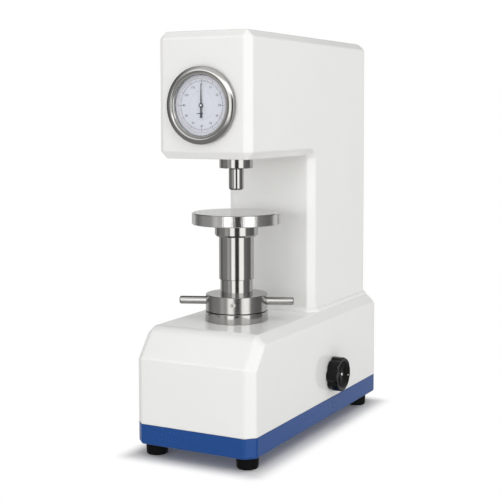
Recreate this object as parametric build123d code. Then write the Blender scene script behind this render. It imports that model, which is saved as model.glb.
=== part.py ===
"""Dial hardness tester with motor loading, modelled as the separate pieces that it is built from.

Frame: millimetres, +Z up.  The origin is where the vertical test axis (screw, anvil, spindle and
penetrator) meets the bench.  +X is the operator's right and +Y runs back towards the column.
"""
from math import cos, pi, radians, sin
import os

from build123d import *

# ---------------------------------------------------------------------------------------------
# Driving sizes
# ---------------------------------------------------------------------------------------------

# Housing
base_width = 224.0
base_front = -149.0            # front face of the base, from the test axis
base_back = 355.0              # back face of the base and of the column
base_top = 213.0
base_wall = 9.0
base_cut = 15.0                # 45 degree cut along the outline of each side of the base
slope_drop = 48.0              # sloping front of the base
slope_run = 37.0
slope_round = 24.0
foot_height = 21.2
foot_diameter = 37.8
foot_inset_side = 26.0
foot_inset_front = 30.4
foot_inset_back = 33.3
band_height = 33.5             # blue pan between the feet and the base casting
band_wall = 8.0
band_floor = 8.0
column_width = 175.0
column_front = 121.0
column_wall = 8.0
head_front = -110.6
total_height = 700.0
head_height = 207.6
column_cut = 12.0              # 45 degree cut along the outline of each side of the column
throat_round = 8.0
head_back_round = 16.0
base_edge_round = 7.0          # softening of the outer edges
column_edge_round = 5.0
seam_round = 2.0               # lower edge of the base casting
foot_flare = 7.0               # cast fillet where the column stands on the base
column_flange = 18.0           # inward foot flange of the column
column_flange_height = 14.0
cover_thickness = 4.0
back_cover_thickness = 5.0
cover_margin = 16.0

# Elevating screw, sleeves and anvil
ring_diameter = 108.0          # guide flange on the base, under the capstan
ring_height = 16.6
capstan_diameter = 105.6
capstan_height = 28.4
capstan_gap = 0.6              # dark line between the flange and the capstan
capstan_edge = 0.9
screw_diameter = 38.0
screw_bottom = 140.0
running_gap = 0.08             # radial gap of a shaft in its bore
guide_barrel_diameter = 72.0
guide_barrel_bottom = 150.0
key_width = 8.0
key_depth = 4.0
rod_diameter = 13.6
rod_tip = 98.6                 # from the test axis
rod_turn = 22.6                # degrees from +X towards +Y
rod_socket = 22.0              # depth of a rod's seat in the capstan
rod_tip_round = 3.0
lower_sleeve_diameter = 55.2
upper_sleeve_diameter = 59.6
sleeve_wall = 1.85
sleeve_room = 9.0              # between the lower sleeve and the collar with the screw down
sleeve_seat = 4.0              # depth of a sleeve in the capstan or the collar
anvil_diameter = 151.5
anvil_thickness = 19.7
test_space = 38.4              # between the anvil and the nose as modelled
anvil_edge = 1.3
anvil_shank_diameter = 25.0
anvil_shank_length = 28.0
collar_diameter = 73.8
collar_height = 21.0
collar_chamfer = 3.2
screw_fall = 22.0              # from the position modelled down to the lowest
sleeve_rest = 3.4              # between the upper sleeve and the capstan with the screw down

# Spindle and penetrator
bush_flange_diameter = 57.2
bush_flange_height = 18.5
bush_barrel_diameter = 40.0
bush_rise = 13.6               # of the bush above the floor of the head
spindle_diameter = 20.0
seat_height = 15.0             # of the knife edge above the spindle
seat_diameter = 11.0
seat_groove = 3.0
nose_diameter = 25.4
nose_length = 36.0
nose_edge = 3.0
nose_relief = 1.2              # gap above the nose: the spindle's lift and some room
shank_diameter = 6.35          # standard penetrator shank
shank_length = 24.0
ball_diameter = 1.588
tip_reach = 1.2

# Lever
knife_pitch = 12.5             # fulcrum to spindle
lever_ratio = 20.0             # whole lever arm over knife_pitch
knife_rise = 84.6              # of the knife edges above the floor of the head
knife_gap = 0.05
lever_width = 24.0
lever_depth = 34.0
lever_nose = 19.5              # of the lever in front of its fulcrum
lever_tip = 16.0               # half length of the lever's end under the weight hanger
lever_slot = 46.0              # lightening holes through the lever
lever_seat = 11.0              # knife edges above the lever's underside
knife_size = 8.0
knife_length = 70.0
bearing_inner = 24.0           # half distance between the fulcrum bearings
bearing_width = 12.0
bearing_depth = 16.0
bearing_rise = 30.0            # of the crossbar above the knife edges
post_inner = 38.0
post_thickness = 14.0
post_front = -30.0
post_back = 28.0
crossbar_height = 16.0

# Weights
stirrup_rise = 16.0            # room over the lever: its own lift and the fall of the weights
stirrup_bar = 8.0
stirrup_room = 14.0            # under the lever's end
stirrup_top = 10.0             # of the stirrup above its groove
stirrup_depth = 24.0
hanger_rod_diameter = 14.0
weight_diameter = 118.0
weight_heights = (30.0, 24.0, 30.0)
weight_gap = 4.0
weight_rise = 175.8            # of the lowest weight over the pan
hanger_fall = 3.0

# Dashpot and loading drive
dashpot_diameter = 44.0
dashpot_wall = 4.0
dashpot_height = 104.8
piston_diameter = 35.2
lift_plate_gap = 8.0           # between the dashpot and the lift plate
cam_radius = 23.0
cam_rest_gap = 0.4
cam_width = 8.0
cam_side = -34.0               # middle plane of the cam

# Load selector
knob_diameter = 61.0
knob_thickness = 20.6
knob_y = 154.8
knob_z = 98.2
knob_lobes = 8
knob_flute = 2.2
knob_dish = 5.0                # depth of the cone in the knob's face
knob_rim = 0.88                # radius of the cone, as a share of the knob's
knob_hub = 4.0                 # radius of the flat at the cone's bottom
knob_edge = 1.6
knob_wall = 8.0                # between the shaft's end and the knob's face
selector_shaft_diameter = 12.0

# Dial
dial_rise = 87.0               # of the dial above the underside of the head
bezel_diameter = 125.8
bezel_rim = 14.2               # width of the bezel's front
bezel_depth = 10.0
dial_face_recess = 4.0
dial_face_thickness = 1.2
crystal_thickness = 1.6
bezel_groove = 4.0             # width of the flat inside the bezel's crown
crystal_depth = 2.9            # behind the bezel's front
spigot_lip = 1.4
seam_gap = 0.3                 # between the dial face and its fixed middle
seam_flange = 5.2              # of the middle behind the dial face, on the diameter
case_wall = 3.0
case_step = 9.0                # of the dial case inside the bezel
dial_case_depth = 14.0
movement_diameter = 72.0
movement_depth = 26.0
plunger_diameter = 4.0
plunger_length = 33.0
plunger_y = -84.0
pointer_length = 35.0
pointer_tail = 20.0
small_pointer_length = 9.0
measuring_ratio = 5.0
measuring_side = 22.0          # middle plane of the measuring lever
lift_pin_rise = 10.0           # of the lift pin above the bush
lift_pin_diameter = 4.0

# Supply
inlet_height = 110.0
inlet_x = -60.0
switch_x = -12.0

# Fasteners and fits
m4 = 4.0
m5 = 5.0
m6 = 6.0
m8 = 8.0
m10 = 10.0
m8_head = 13.0
m6_head = 10.2
bush_head = 8.5
fit_gap = 0.05                 # radial gap of a fastener in its hole
base_bolt_depth = 20.0         # of the column's bolts into the base
flange_bolt_inset = 24.0
pan_bolt_inset = 70.0
lug_roof = 4.0
boss_roof = 3.0
bolt_clearance = 0.8           # on the diameter of a through hole
head_clearance = 1.5           # on the diameter of a recess for a head
panel_gap = 0.3                # round covers, the dial case and the back panel's fittings
inner_cut = 0.6                # cut edges inside a casting, as a share of the cut outside
m5_countersink = 4.6
m5_pan_head = 4.75
m5_pan_height = 2.6
slot_width = 1.2
cover_screw_length = 10.5
back_cover_inset = 9.0
back_cover_chamfer = 1.2
back_window_rise = 38.0        # of the head above the opening in the back
bracket_thread = 6.0
bush_thread = 6.0
bush_sink = 5.2                # heads of the bush's screws in its flange
tread_round = 3.0
foot_taper = 1.0
guide_bolt_angles = (30, 150, 270)
guide_thread = 8.0             # of the guide's bolts in its flange
transport_boss_diameter = 24.0
bracket_foot = 10.0
pan_lug = 22.0
lug_height = 24.0
pan_bolt_recess = 14.0
foot_boss_diameter = 26.0
foot_boss_top = 44.0
foot_recess = 9.0
pan_edge_round = 4.0
transport_x = 120.0            # pitch of the threaded transport holes
transport_depth = 18.0
transport_y = 360.0
pad_height = 14.0              # pads under the roof of the base
guide_boss_diameter = 104.0
guide_bolt_circle = 45.0
cover_lip = 12.0
flare_edge = 0.6
bearing_bore = 24.0
bearing_outer = 40.0
race_thickness = 3.0
ball_size = 6.0
ball_count = 10
plug_diameter = 8.5
hanger_knife_length = 40.0
lever_tip_depth = 18.0
weight_collar = 32.0
piston_rod = 12.0
piston_bottom = 92.0
piston_thickness = 12.0
lift_plate_diameter = 44.0
lift_plate_thickness = 8.0
tongue_width = 18.0            # of the lift plate over the cam
cam_shaft_diameter = 12.0
gearbox_side = -52.0
gearbox_gap = 6.0              # between the gearbox and the base's side wall
gearbox_width = 48.0
gearbox_socket = 12.0          # depth of the cam shaft in the gearbox
motor_diameter = 44.0
motor_back_room = 33.5         # between the motor's end and the base's back face
knob_gap = 0.6
flute_radius = 12.0
selector_bush_diameter = 22.0
selector_reach = 30.0          # of the selector shaft past the middle plane
pillar_width = 28.0            # inner bearing of the selector shaft
pillar_thickness = 12.0
pillar_foot = 8.0
selector_turn = 120.0          # degrees between the lightest and the heaviest test force
snail_radius = 28.0
carrier_fall = 6.0
carrier_gap = 3.6              # under the lowest weight, with room for its fall
carrier_rest = 0.5
carrier_post = 10.0
carrier_post_rise = 45.0       # of the posts above the snail cam
carrier_outer = 54.0
post_side = 34.0
post_offset = 26.0
case_flange = 2.0
arbor_hole = 2.5
small_dial_drop = 13.0
dial_centre_diameter = 46.0
measuring_gap = 0.05
measuring_depth = 8.0
pivot_diameter = 5.0
inlet_width = 28.0
inlet_tall = 20.0
switch_width = 15.0
switch_tall = 21.0
rocker_throw = 14.0            # degrees between off and on
board_area = (-44.0, 44.0, -120.0, -50.0)
board_rise = 12.0
board_thickness = 1.6
board_corner = 5.0
standoff_diameter = 7.0
transformer_width = 30.0
transformer_height = 24.0
capacitor_diameter = 10.0

# ---------------------------------------------------------------------------------------------
# Sizes that follow
# ---------------------------------------------------------------------------------------------
band_top = foot_height + band_height
half_base = base_width / 2
half_column = column_width / 2
pan_floor_top = foot_height + band_floor
head_under = total_height - head_height
head_floor = head_under + column_wall
slope_foot = base_top - slope_drop
nose_top = head_under - bush_flange_height - nose_relief
nose_bottom = nose_top - nose_length
anvil_top = nose_bottom - test_space
anvil_bottom = anvil_top - anvil_thickness
collar_bottom = anvil_bottom - collar_height
ring_top = base_top + ring_height
capstan_bottom = ring_top + capstan_gap
capstan_top = capstan_bottom + capstan_height
rod_height = capstan_bottom + capstan_height * 0.56
lever_arm = knife_pitch * (lever_ratio - 1.0)
hanger_y = lever_arm
knife_height = head_floor + knife_rise
spindle_top = knife_height - seat_height
bush_top = head_floor + bush_rise
lift_pin_height = bush_top + lift_pin_rise
lever_bottom = knife_height - lever_seat
lever_top = lever_bottom + lever_depth
dial_height = head_under + dial_rise
bezel_opening = bezel_diameter - 2 * bezel_rim
dial_case_diameter = bezel_diameter - 2 * case_step
weight_floor = pan_floor_top + weight_rise
dashpot_top = pan_floor_top + dashpot_height
lift_plate_under = dashpot_top + lift_plate_gap
upper_sleeve_bottom = capstan_top + screw_fall + sleeve_rest
lower_sleeve_top = collar_bottom - screw_fall - sleeve_room
measuring_pivot_y = -plunger_y / (measuring_ratio - 1.0)
cam_height = lift_plate_under - cam_rest_gap - cam_radius
back_window_top = total_height - back_window_rise

KNIFE_SLOPE = 0.5774            # half the 60 degree knife angle, as a tangent


# ---------------------------------------------------------------------------------------------
# Helpers
# ---------------------------------------------------------------------------------------------
def block(x0, x1, y0, y1, z0, z1):
    """A box between two corners."""
    return Pos((x0 + x1) / 2, (y0 + y1) / 2, (z0 + z1) / 2) * Box(x1 - x0, y1 - y0, z1 - z0)


def disc(diameter, z0, z1, x=0.0, y=0.0):
    """An upright cylinder."""
    return Pos(x, y, (z0 + z1) / 2) * Cylinder(diameter / 2, z1 - z0)


def tube(outer, inner, z0, z1, x=0.0, y=0.0):
    """An upright tube."""
    return disc(outer, z0, z1, x, y) - disc(inner, z0 - 1, z1 + 1, x, y)


def bar_x(diameter, x0, x1, y, z):
    """A round bar along X."""
    return Pos((x0 + x1) / 2, y, z) * Rot(0, 90, 0) * Cylinder(diameter / 2, x1 - x0)


def bar_y(diameter, y0, y1, x, z):
    """A round bar along Y."""
    return Pos(x, (y0 + y1) / 2, z) * Rot(90, 0, 0) * Cylinder(diameter / 2, y1 - y0)


def turned(points, x=0.0, y=0.0):
    """A body of revolution about the upright axis at x, y from (radius, height) points."""
    face = Plane.XZ * make_face(Polyline(*points, close=True))
    return Pos(x, y, 0) * revolve(face, Axis.Z)


def turned_y(points, x, z):
    """A body of revolution about an axis along Y from (radius, y) points."""
    face = make_face(Polyline(*[(r, y) for r, y in points], close=True))
    return Pos(x, 0, z) * revolve(face, Axis.Y)


def side_plate(points, half_width):
    """A plate with a (y, z) outline, half_width to each side of the middle plane."""
    return extrude(Plane.YZ * make_face(Polyline(*points, close=True)), half_width, both=True)


def grid(xs, ys):
    """Every pair of the x and y values."""
    return [(x, y) for x in xs for y in ys]


def cap_screw(diameter, length, head_diameter, head_height):
    """A socket cap screw that points down, with its head's seat at height zero."""
    head = disc(head_diameter, 0, head_height)
    socket = extrude(RegularPolygon(diameter * 0.46, 6), head_height * 0.55)
    return head + disc(diameter, -length, 0) - Pos(0, 0, head_height * 0.45) * socket


def group(solids):
    """Several separate solids in one node."""
    return Compound(children=list(solids))


def straight_knife(y, length, up=True):
    """A hardened prism along X whose edge lies at knife_height and points up or down."""
    sign = 1.0 if up else -1.0
    foot = knife_height - sign * knife_size
    half = knife_size * KNIFE_SLOPE
    return side_plate([(y, knife_height), (y - half, foot), (y + half, foot)], length / 2)


def vee(y, edge, opening, half_width, depth_sign):
    """Cutter for a right-angled groove along X with its root at edge."""
    mouth = edge + depth_sign * opening
    return side_plate([(y, edge), (y - opening, mouth), (y + opening, mouth)], half_width)


def near(value, target):
    """Whether two coordinates agree."""
    return abs(value - target) < 0.05


def softened(body, cut_edges, cut, round_size, floor):
    """Cut some edges at 45 degrees, then soften every edge above the foot."""
    body = chamfer(cut_edges, cut)
    soft = [e for e in body.edges() if e.center().Z > floor + 0.05 and e.length > round_size]
    return fillet(soft, round_size)


def side_outline(body, half_width, floor, back):
    """Edges round both sides of a casting, without those of its foot and of its back."""
    sides = [f for f in body.faces() if near(abs(f.center().X), half_width)]
    return [e for f in sides for e in f.edges()
            if not near(e.center().Z, floor) and not near(e.center().Y, back)]


# ---------------------------------------------------------------------------------------------
# Housing
# ---------------------------------------------------------------------------------------------
def base_outline(inset, floor):
    """Side outline (y, z) of the base's cavity, parallel to its front, slope and top."""
    slope = (slope_run ** 2 + slope_drop ** 2) ** 0.5
    knee = slope_foot - inset * (slope - slope_drop) / slope_run
    crest = base_front + slope_run + inset * (slope - slope_run) / slope_drop
    return [(base_front + inset, floor), (base_front + inset, knee), (crest, base_top - inset),
            (base_back - inset, base_top - inset), (base_back - inset, floor)]


def column_window(margin=0.0):
    """x and y limits of the opening between column and base."""
    inner = column_wall + column_flange + margin
    return -half_column + inner, half_column - inner, column_front + inner, base_back - inner


def flange_bolt_places():
    """Bolts that hold the column's foot flange to the base."""
    line = column_wall + column_flange / 2
    xs = (-half_column + line, half_column - line)
    middle = (column_front + base_back) / 2
    return grid(xs, (column_front + line + flange_bolt_inset, middle, base_back - line - flange_bolt_inset))


def pan_bolt_places():
    """Bolts that hold the pan under the base casting."""
    edge = base_wall + pan_lug / 2
    xs = (-half_base + edge, half_base - edge)
    middle = (base_front + base_back) / 2
    return grid(xs, (base_front + pan_bolt_inset, middle, base_back - pan_bolt_inset))


def foot_places():
    """Middles of the four feet."""
    xs = (-half_base + foot_inset_side, half_base - foot_inset_side)
    return grid(xs, (base_front + foot_inset_front, base_back - foot_inset_back))


def build_base_casting():
    """White hollow casting with a sloping front, open underneath."""
    outline = [(base_front, band_top), (base_front, slope_foot),
               (base_front + slope_run, base_top), (base_back, base_top), (base_back, band_top)]
    body = side_plate(outline, half_base)
    crest = [e for e in body.edges()
             if near(e.center().Y, base_front + slope_run) and near(e.center().Z, base_top)]
    body = fillet(crest, slope_round)
    body = softened(body, side_outline(body, half_base, band_top, base_back), base_cut, base_edge_round,
                    band_top)
    body = fillet(body.faces().sort_by(Axis.Z)[0].edges(), seam_round)

    cavity = side_plate(base_outline(base_wall, band_top - 1), half_base - base_wall)
    roof = [e for e in cavity.edges() if near(abs(e.center().X), half_base - base_wall)
            and near(e.center().Z, base_top - base_wall)]
    cavity = chamfer(roof, base_cut * inner_cut)
    x0, x1, y0, y1 = column_window()
    roof_low = base_top - base_wall - pad_height
    pad = block(x0 - column_flange, x1 + column_flange, y0 - column_flange, y1 + column_flange,
                roof_low, base_top - base_wall)
    boss = disc(guide_boss_diameter, roof_low, base_top - base_wall)
    body = body - (cavity - pad - boss) + [pan_lug_solid(x, y) for x, y in pan_bolt_places()]
    body -= block(x0, x1, y0, y1, roof_low - 1, base_top + 1)
    body -= disc(guide_barrel_diameter + 2 * fit_gap, roof_low - 1, base_top + 1)
    for x, y in flange_bolt_places():
        body -= disc(m8 + 2 * fit_gap, base_top - base_bolt_depth, base_top + 1, x, y)
    for x, y in pan_bolt_places():
        body -= disc(m8 + 2 * fit_gap, band_top - 1, band_top + lug_height - lug_roof, x, y)
    for turn in guide_bolt_angles:
        body -= Rot(0, 0, turn) * disc(m6 + 2 * fit_gap, roof_low - 1, base_top + 1, guide_bolt_circle)
    body -= bar_x(selector_bush_diameter + 2 * fit_gap, half_base - 2 * base_wall, half_base + 1,
                  knob_y, knob_z)
    for x, wide, tall in ((inlet_x, inlet_width, inlet_tall), (switch_x, switch_width, switch_tall)):
        body -= Pos(x, base_back, inlet_height) * Box(wide + panel_gap, 3 * base_wall, tall + panel_gap)
    return body


def pan_lug_solid(x, y):
    """Lug for a bolt of the pan, joined to the side wall of the base casting."""
    side = 1 if x > 0 else -1
    inner, outer = sorted((x, x + side * pan_lug / 2))
    return (disc(pan_lug, band_top, band_top + lug_height, x, y)
            + block(inner, outer, y - pan_lug / 2, y + pan_lug / 2, band_top, band_top + lug_height))


def build_base_pan():
    """Blue pan that closes the base from below and carries the feet."""
    outer = block(-half_base, half_base, base_front, base_back, foot_height, band_top)
    front = [e for e in outer.edges().filter_by(Axis.Z) if near(e.center().Y, base_front)]
    outer = chamfer(front, base_cut)
    outer = fillet(outer.edges().filter_by(Axis.Z), base_edge_round)
    outer = fillet(outer.faces().sort_by(Axis.Z)[0].edges(), pan_edge_round)
    inside = block(-half_base + band_wall, half_base - band_wall, base_front + band_wall,
                   base_back - band_wall, pan_floor_top, band_top + 1)
    corners = [e for e in inside.edges().filter_by(Axis.Z) if e.center().Y < 0]
    pan = outer - chamfer(corners, base_cut * inner_cut)
    low = foot_height + 1
    for x, y in pan_bolt_places():
        pan += disc(pan_lug, low, band_top, x, y)
    for x, y in foot_places():
        pan += disc(foot_boss_diameter, low, foot_boss_top, x, y)
    for x, y in transport_places():
        pan += disc(transport_boss_diameter, low, foot_height + transport_depth + boss_roof, x, y)
    for x, y in pan_bolt_places():
        pan -= disc(m8 + bolt_clearance, foot_height - 1, band_top + 1, x, y)
        pan -= disc(m8_head + head_clearance, foot_height - 1, foot_height + pan_bolt_recess, x, y)
    for x, y in foot_places():
        pan -= disc(m8 + 2 * fit_gap, foot_height - 1, foot_boss_top - boss_roof, x, y)
    for x, y in transport_places():
        pan -= disc(m10, foot_height - 1, foot_height + transport_depth, x, y)
    return pan


def transport_places():
    """Threaded holes in the pan that take bolts through a bench or a crate floor."""
    middle = (base_front + base_back) / 2
    return grid((-transport_x / 2, transport_x / 2), (middle - transport_y / 2, middle + transport_y / 2))


def build_foot(x, y):
    """Rubber foot with a rounded tread and a recess for its bolt."""
    r = foot_diameter / 2
    tread = r - foot_taper
    body = turned([(0, 0), (tread - tread_round, 0), (tread - 0.3 * tread_round, 0.3 * tread_round),
                   (tread, tread_round), (r, foot_height), (0, foot_height)], x, y)
    body -= disc(m8 + bolt_clearance, -1, foot_height + 1, x, y)
    return body - disc(m8_head + head_clearance, -1, foot_recess, x, y)


def build_column_casting():
    """White C-shaped casting: the column and the head in one, hollow and open at the back."""
    body = column_shell() - column_cavity()
    x0, x1, y0, y1 = column_window()
    body -= block(x0, x1, y0, y1, base_top - 1, base_top + column_flange_height + 1)
    body -= back_window()
    body -= top_window(0.0, total_height - 2 * column_wall, total_height + 1)
    body -= top_window(cover_lip, total_height - cover_thickness, total_height + 1)
    body -= disc(bush_barrel_diameter + 2 * fit_gap, head_under - 1, head_floor + 1)
    body -= bar_y(dial_case_diameter + 2 * panel_gap, head_front - 1, head_front + column_wall + 1, 0,
                  dial_height)
    for x, y in flange_bolt_places():
        body -= disc(m8 + 2 * fit_gap, base_top - 1, base_top + column_flange_height + 1, x, y)
    for x, y in bracket_bolt_places():
        body -= disc(m8 + 2 * fit_gap, head_floor - bracket_thread - 0.5, head_floor + 1, x, y)
    for x, y in bush_screw_places():
        body -= disc(m5 + 2 * fit_gap, head_under - 1, head_under + bush_thread + 0.5, x, y)
    for x, z in back_screw_places():
        body -= bar_y(m5 + 2 * fit_gap, base_back - column_wall - 1, base_back + 1, x, z)
    for x, y in top_screw_places():
        body -= disc(m5 + 2 * fit_gap, total_height - column_wall - 1, total_height, x, y)
    return body


def column_shell():
    """Outside of the column and head, with its cut and softened edges and the fillet at its foot."""
    outline = [(column_front, base_top), (column_front, head_under), (head_front, head_under),
               (head_front, total_height), (base_back, total_height), (base_back, base_top)]
    body = side_plate(outline, half_column)
    throat = [e for e in body.edges() if near(e.center().Y, column_front) and near(e.center().Z, head_under)]
    body = fillet(throat, throat_round)
    cuts = side_outline(body, half_column, base_top, base_back)
    cuts += [e for e in body.edges().filter_by(Axis.X) if near(e.center().Y, head_front)]
    body = softened(body, cuts, column_cut, column_edge_round, base_top)
    return body - head_back_corner() + foot_fillet(body)


def head_back_corner():
    """Cutter that rounds the head where its top meets the back."""
    y, z = base_back - head_back_round, total_height - head_back_round
    corner = block(-base_width, base_width, y, base_back + 1, z, total_height + 1)
    return corner - bar_x(2 * head_back_round, -base_width - 1, base_width + 1, y, z)


def column_cavity():
    """Inside of the column and head."""
    low = base_top + column_flange_height
    high = total_height - column_wall
    front = column_front + column_wall
    head = head_front + column_wall
    back = base_back - column_wall
    cavity = side_plate([(front, low), (front, head_floor), (head, head_floor), (head, high), (back, high),
                         (back, low)], half_column - column_wall)
    sides = side_outline(cavity, half_column - column_wall, low, -base_back)
    return chamfer(sides, column_cut * inner_cut)


def foot_fillet(body):
    """Concave cast fillet along the front and the sides of the column's foot."""
    foot = body.faces().sort_by(Axis.Z)[0]
    run = Wire([e for e in foot.outer_wire().edges() if e.center().Y < base_back - column_edge_round])
    start = run @ 0
    outward = Vector(1, 0, 0) if start.X > 0 else Vector(-1, 0, 0)
    plane = Plane(origin=start, x_dir=outward, z_dir=run % 0)
    rise = 1.0 if plane.y_dir.Z > 0 else -1.0
    edge = flare_edge * rise
    arc = RadiusArc((foot_flare, edge), (0, foot_flare * rise), rise * -foot_flare)
    outline = Polyline((0, foot_flare * rise), (-0.5, foot_flare * rise), (-0.5, 0), (foot_flare, 0),
                       (foot_flare, edge))
    return sweep(plane * make_face(arc + outline), path=run)


def back_window():
    """Cutter for the service opening in the column's back."""
    x = half_column - column_wall - cover_margin
    return block(-x, x, base_back - 3 * column_wall, base_back + 1,
                 base_top + column_flange_height + cover_margin, back_window_top)


def top_window(lip, z0, z1):
    """Cutter for the opening over the lever, or for the recess of its cover."""
    x = half_column - column_cut - cover_margin + lip
    return block(-x, x, head_front + column_cut + cover_margin - lip,
                 base_back - head_back_round - cover_margin + lip, z0, z1)


def back_screw_places():
    """Screws of the back cover (x, z)."""
    x = half_column - column_wall - cover_margin / 2
    low = base_top + column_flange_height + cover_margin / 2
    high = back_window_top + cover_margin / 2
    return grid((-x, x), [low + (high - low) * k / 3 for k in range(4)])


def top_screw_places():
    """Screws of the top cover (x, y)."""
    x = half_column - column_cut - cover_margin + cover_lip / 2
    y0 = head_front + column_cut + cover_margin - cover_lip / 2
    y1 = base_back - head_back_round - cover_margin + cover_lip / 2
    return grid((-x, x), (y0, (y0 + y1) / 2, y1))


def build_top_cover():
    """Flat cover let into the top of the head, countersunk for its screws."""
    cover = top_window(cover_lip - panel_gap, total_height - cover_thickness, total_height)
    r = m5 / 2 + panel_gap
    deep = m5_countersink - m5 / 2
    sink = turned([(0, -cover_thickness - 1), (r, -cover_thickness - 1), (r, -deep),
                   (r + deep + 1, 1), (0, 1)])
    for x, y in top_screw_places():
        cover -= Pos(x, y, total_height) * sink
    return cover


def build_back_cover():
    """Flat cover on the column's back."""
    x = half_column - back_cover_inset
    cover = block(-x, x, base_back, base_back + back_cover_thickness, base_top + back_cover_inset,
                  back_window_top + cover_margin)
    cover = fillet(cover.edges().filter_by(Axis.Y), column_edge_round)
    cover = chamfer(cover.faces().sort_by(Axis.Y)[-1].edges(), back_cover_chamfer)
    for sx, z in back_screw_places():
        cover -= bar_y(m5 + bolt_clearance, base_back - 1, base_back + back_cover_thickness + 1, sx, z)
    return cover


def pan_head_screw(length):
    """M5 pan head screw that points down, with its seat at height zero."""
    head = disc(2 * m5_pan_head, 0, m5_pan_height)
    head = fillet(head.edges().sort_by(Axis.Z)[-1], m5_pan_height / 2)
    return head - screw_slot(m5_pan_height) + disc(m5, -length, 0)


def countersunk_screw(length):
    """M5 countersunk screw that points down, flush at height zero."""
    r = m5 / 2
    body = turned([(0, -length), (r, -length), (r, r - m5_countersink), (m5_countersink, 0), (0, 0)])
    return body - screw_slot(0)


def screw_slot(top):
    """Cutter for a screwdriver slot in a head whose top is at this height."""
    return Pos(0, 0, top) * Box(3 * m5, slot_width, 2 * slot_width)


def build_cover_screws():
    """Screws of the back cover and of the top cover."""
    back = [Pos(x, base_back + back_cover_thickness, z) * Rot(-90, 0, 0) * pan_head_screw(cover_screw_length)
            for x, z in back_screw_places()]
    top = [Pos(x, y, total_height) * countersunk_screw(cover_screw_length) for x, y in top_screw_places()]
    return group(back + top)


def build_frame_bolts():
    """M8 bolts: column to base, and lever bracket to head."""
    bolt = cap_screw(m8, column_flange_height + base_bolt_depth - 2, m8_head, m8)
    column = [Pos(x, y, base_top + column_flange_height) * bolt for x, y in flange_bolt_places()]
    short = cap_screw(m8, bracket_foot + bracket_thread, m8_head, m8)
    bracket = [Pos(x, y, head_floor + bracket_foot) * short for x, y in bracket_bolt_places()]
    return column + bracket


def build_pan_bolts():
    """M8 bolts that hold the pan under the base casting."""
    length = band_top - foot_height - pan_bolt_recess + lug_height - lug_roof - 1
    bolt = Rot(180, 0, 0) * cap_screw(m8, length, m8_head, m8)
    return [Pos(x, y, foot_height + pan_bolt_recess) * bolt for x, y in pan_bolt_places()]


def build_foot_bolts():
    """M8 bolts through the rubber feet."""
    bolt = Rot(180, 0, 0) * cap_screw(m8, foot_boss_top - foot_recess - boss_roof - 1, m8_head, m8 * 0.7)
    return [Pos(x, y, foot_recess) * bolt for x, y in foot_places()]


# ---------------------------------------------------------------------------------------------
# Elevating screw, capstan and anvil
# ---------------------------------------------------------------------------------------------
def build_screw_guide():
    """Flanged guide for the elevating screw, let into the base, with a seat for the bearing."""
    bore = screw_diameter / 2 + running_gap
    r = ring_diameter / 2
    guide = turned([(bore, guide_barrel_bottom), (guide_barrel_diameter / 2 - 1.5, guide_barrel_bottom),
                    (guide_barrel_diameter / 2, guide_barrel_bottom + 1.5),
                    (guide_barrel_diameter / 2, base_top), (r - 0.8, base_top), (r, base_top + 0.8),
                    (r, ring_top - 1), (r - 1, ring_top), (bearing_outer, ring_top),
                    (bearing_outer, ring_top - race_thickness - ball_size + 1),
                    (bearing_bore, ring_top - race_thickness - ball_size + 1),
                    (bearing_bore, ring_top), (bore, ring_top)])
    guide -= key_slot()
    hole = disc(m6 + 2 * fit_gap, base_top - 1, base_top + guide_thread + 1, guide_bolt_circle)
    for turn in guide_bolt_angles:
        guide -= Rot(0, 0, turn) * hole
    return guide


def key_slot():
    """Cutter and size of the guide key that keeps the screw from turning."""
    front = screw_diameter / 2 - key_depth + 0.3
    return block(-key_width / 2, key_width / 2, front, guide_barrel_diameter / 2 - 1.0,
                 guide_barrel_bottom + 8, guide_barrel_bottom + 38)


def build_guide_bolts():
    """M6 bolts that hold the guide's flange from inside the base."""
    seat = base_top - base_wall - pad_height
    bolt = Rot(180, 0, 0) * cap_screw(m6, base_top + guide_thread - seat, m6_head, m6)
    return group([Rot(0, 0, turn) * Pos(guide_bolt_circle, 0, seat) * bolt for turn in guide_bolt_angles])


def race(z):
    """One washer of the thrust bearing."""
    return tube(2 * bearing_outer - 0.4, 2 * bearing_bore + 0.4, z, z + race_thickness)


def build_thrust_bearing():
    """Lower washer, cage and balls of the bearing under the capstan."""
    seat = ring_top - race_thickness - ball_size + 1
    middle = seat + race_thickness + ball_size / 2
    pitch = (bearing_outer + bearing_bore) / 2
    cage = tube(2 * pitch + 7, 2 * pitch - 7, middle - 1, middle + 1)
    balls = []
    for k in range(ball_count):
        turn = Rot(0, 0, 360 * k / ball_count)
        cage -= turn * disc(ball_size + 0.2, middle - 2, middle + 2, pitch)
        balls.append(turn * Pos(pitch, 0, middle) * Sphere(ball_size / 2 - 0.05))
    return group([race(seat), cage] + balls)


def build_capstan():
    """Round nut that raises the screw, with four radial seats for turning rods."""
    r = capstan_diameter / 2
    bore = screw_diameter / 2 + running_gap
    seat = ring_top + 1 + race_thickness
    body = turned([(bore, capstan_bottom), (bearing_bore, capstan_bottom), (bearing_bore, seat),
                   (bearing_outer, seat), (bearing_outer, capstan_bottom),
                   (r - capstan_edge, capstan_bottom), (r, capstan_bottom + capstan_edge),
                   (r, capstan_top - capstan_edge), (r - capstan_edge, capstan_top),
                   (lower_sleeve_diameter / 2, capstan_top),
                   (lower_sleeve_diameter / 2, capstan_top - sleeve_seat), (bore, capstan_top - sleeve_seat)])
    for turn, diameter in ((0, rod_diameter), (180, rod_diameter), (90, plug_diameter), (270, plug_diameter)):
        body -= Rot(0, 0, rod_turn + turn) * bar_x(diameter, r - rod_socket, r + 1, 0, rod_height)
    return body


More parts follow.
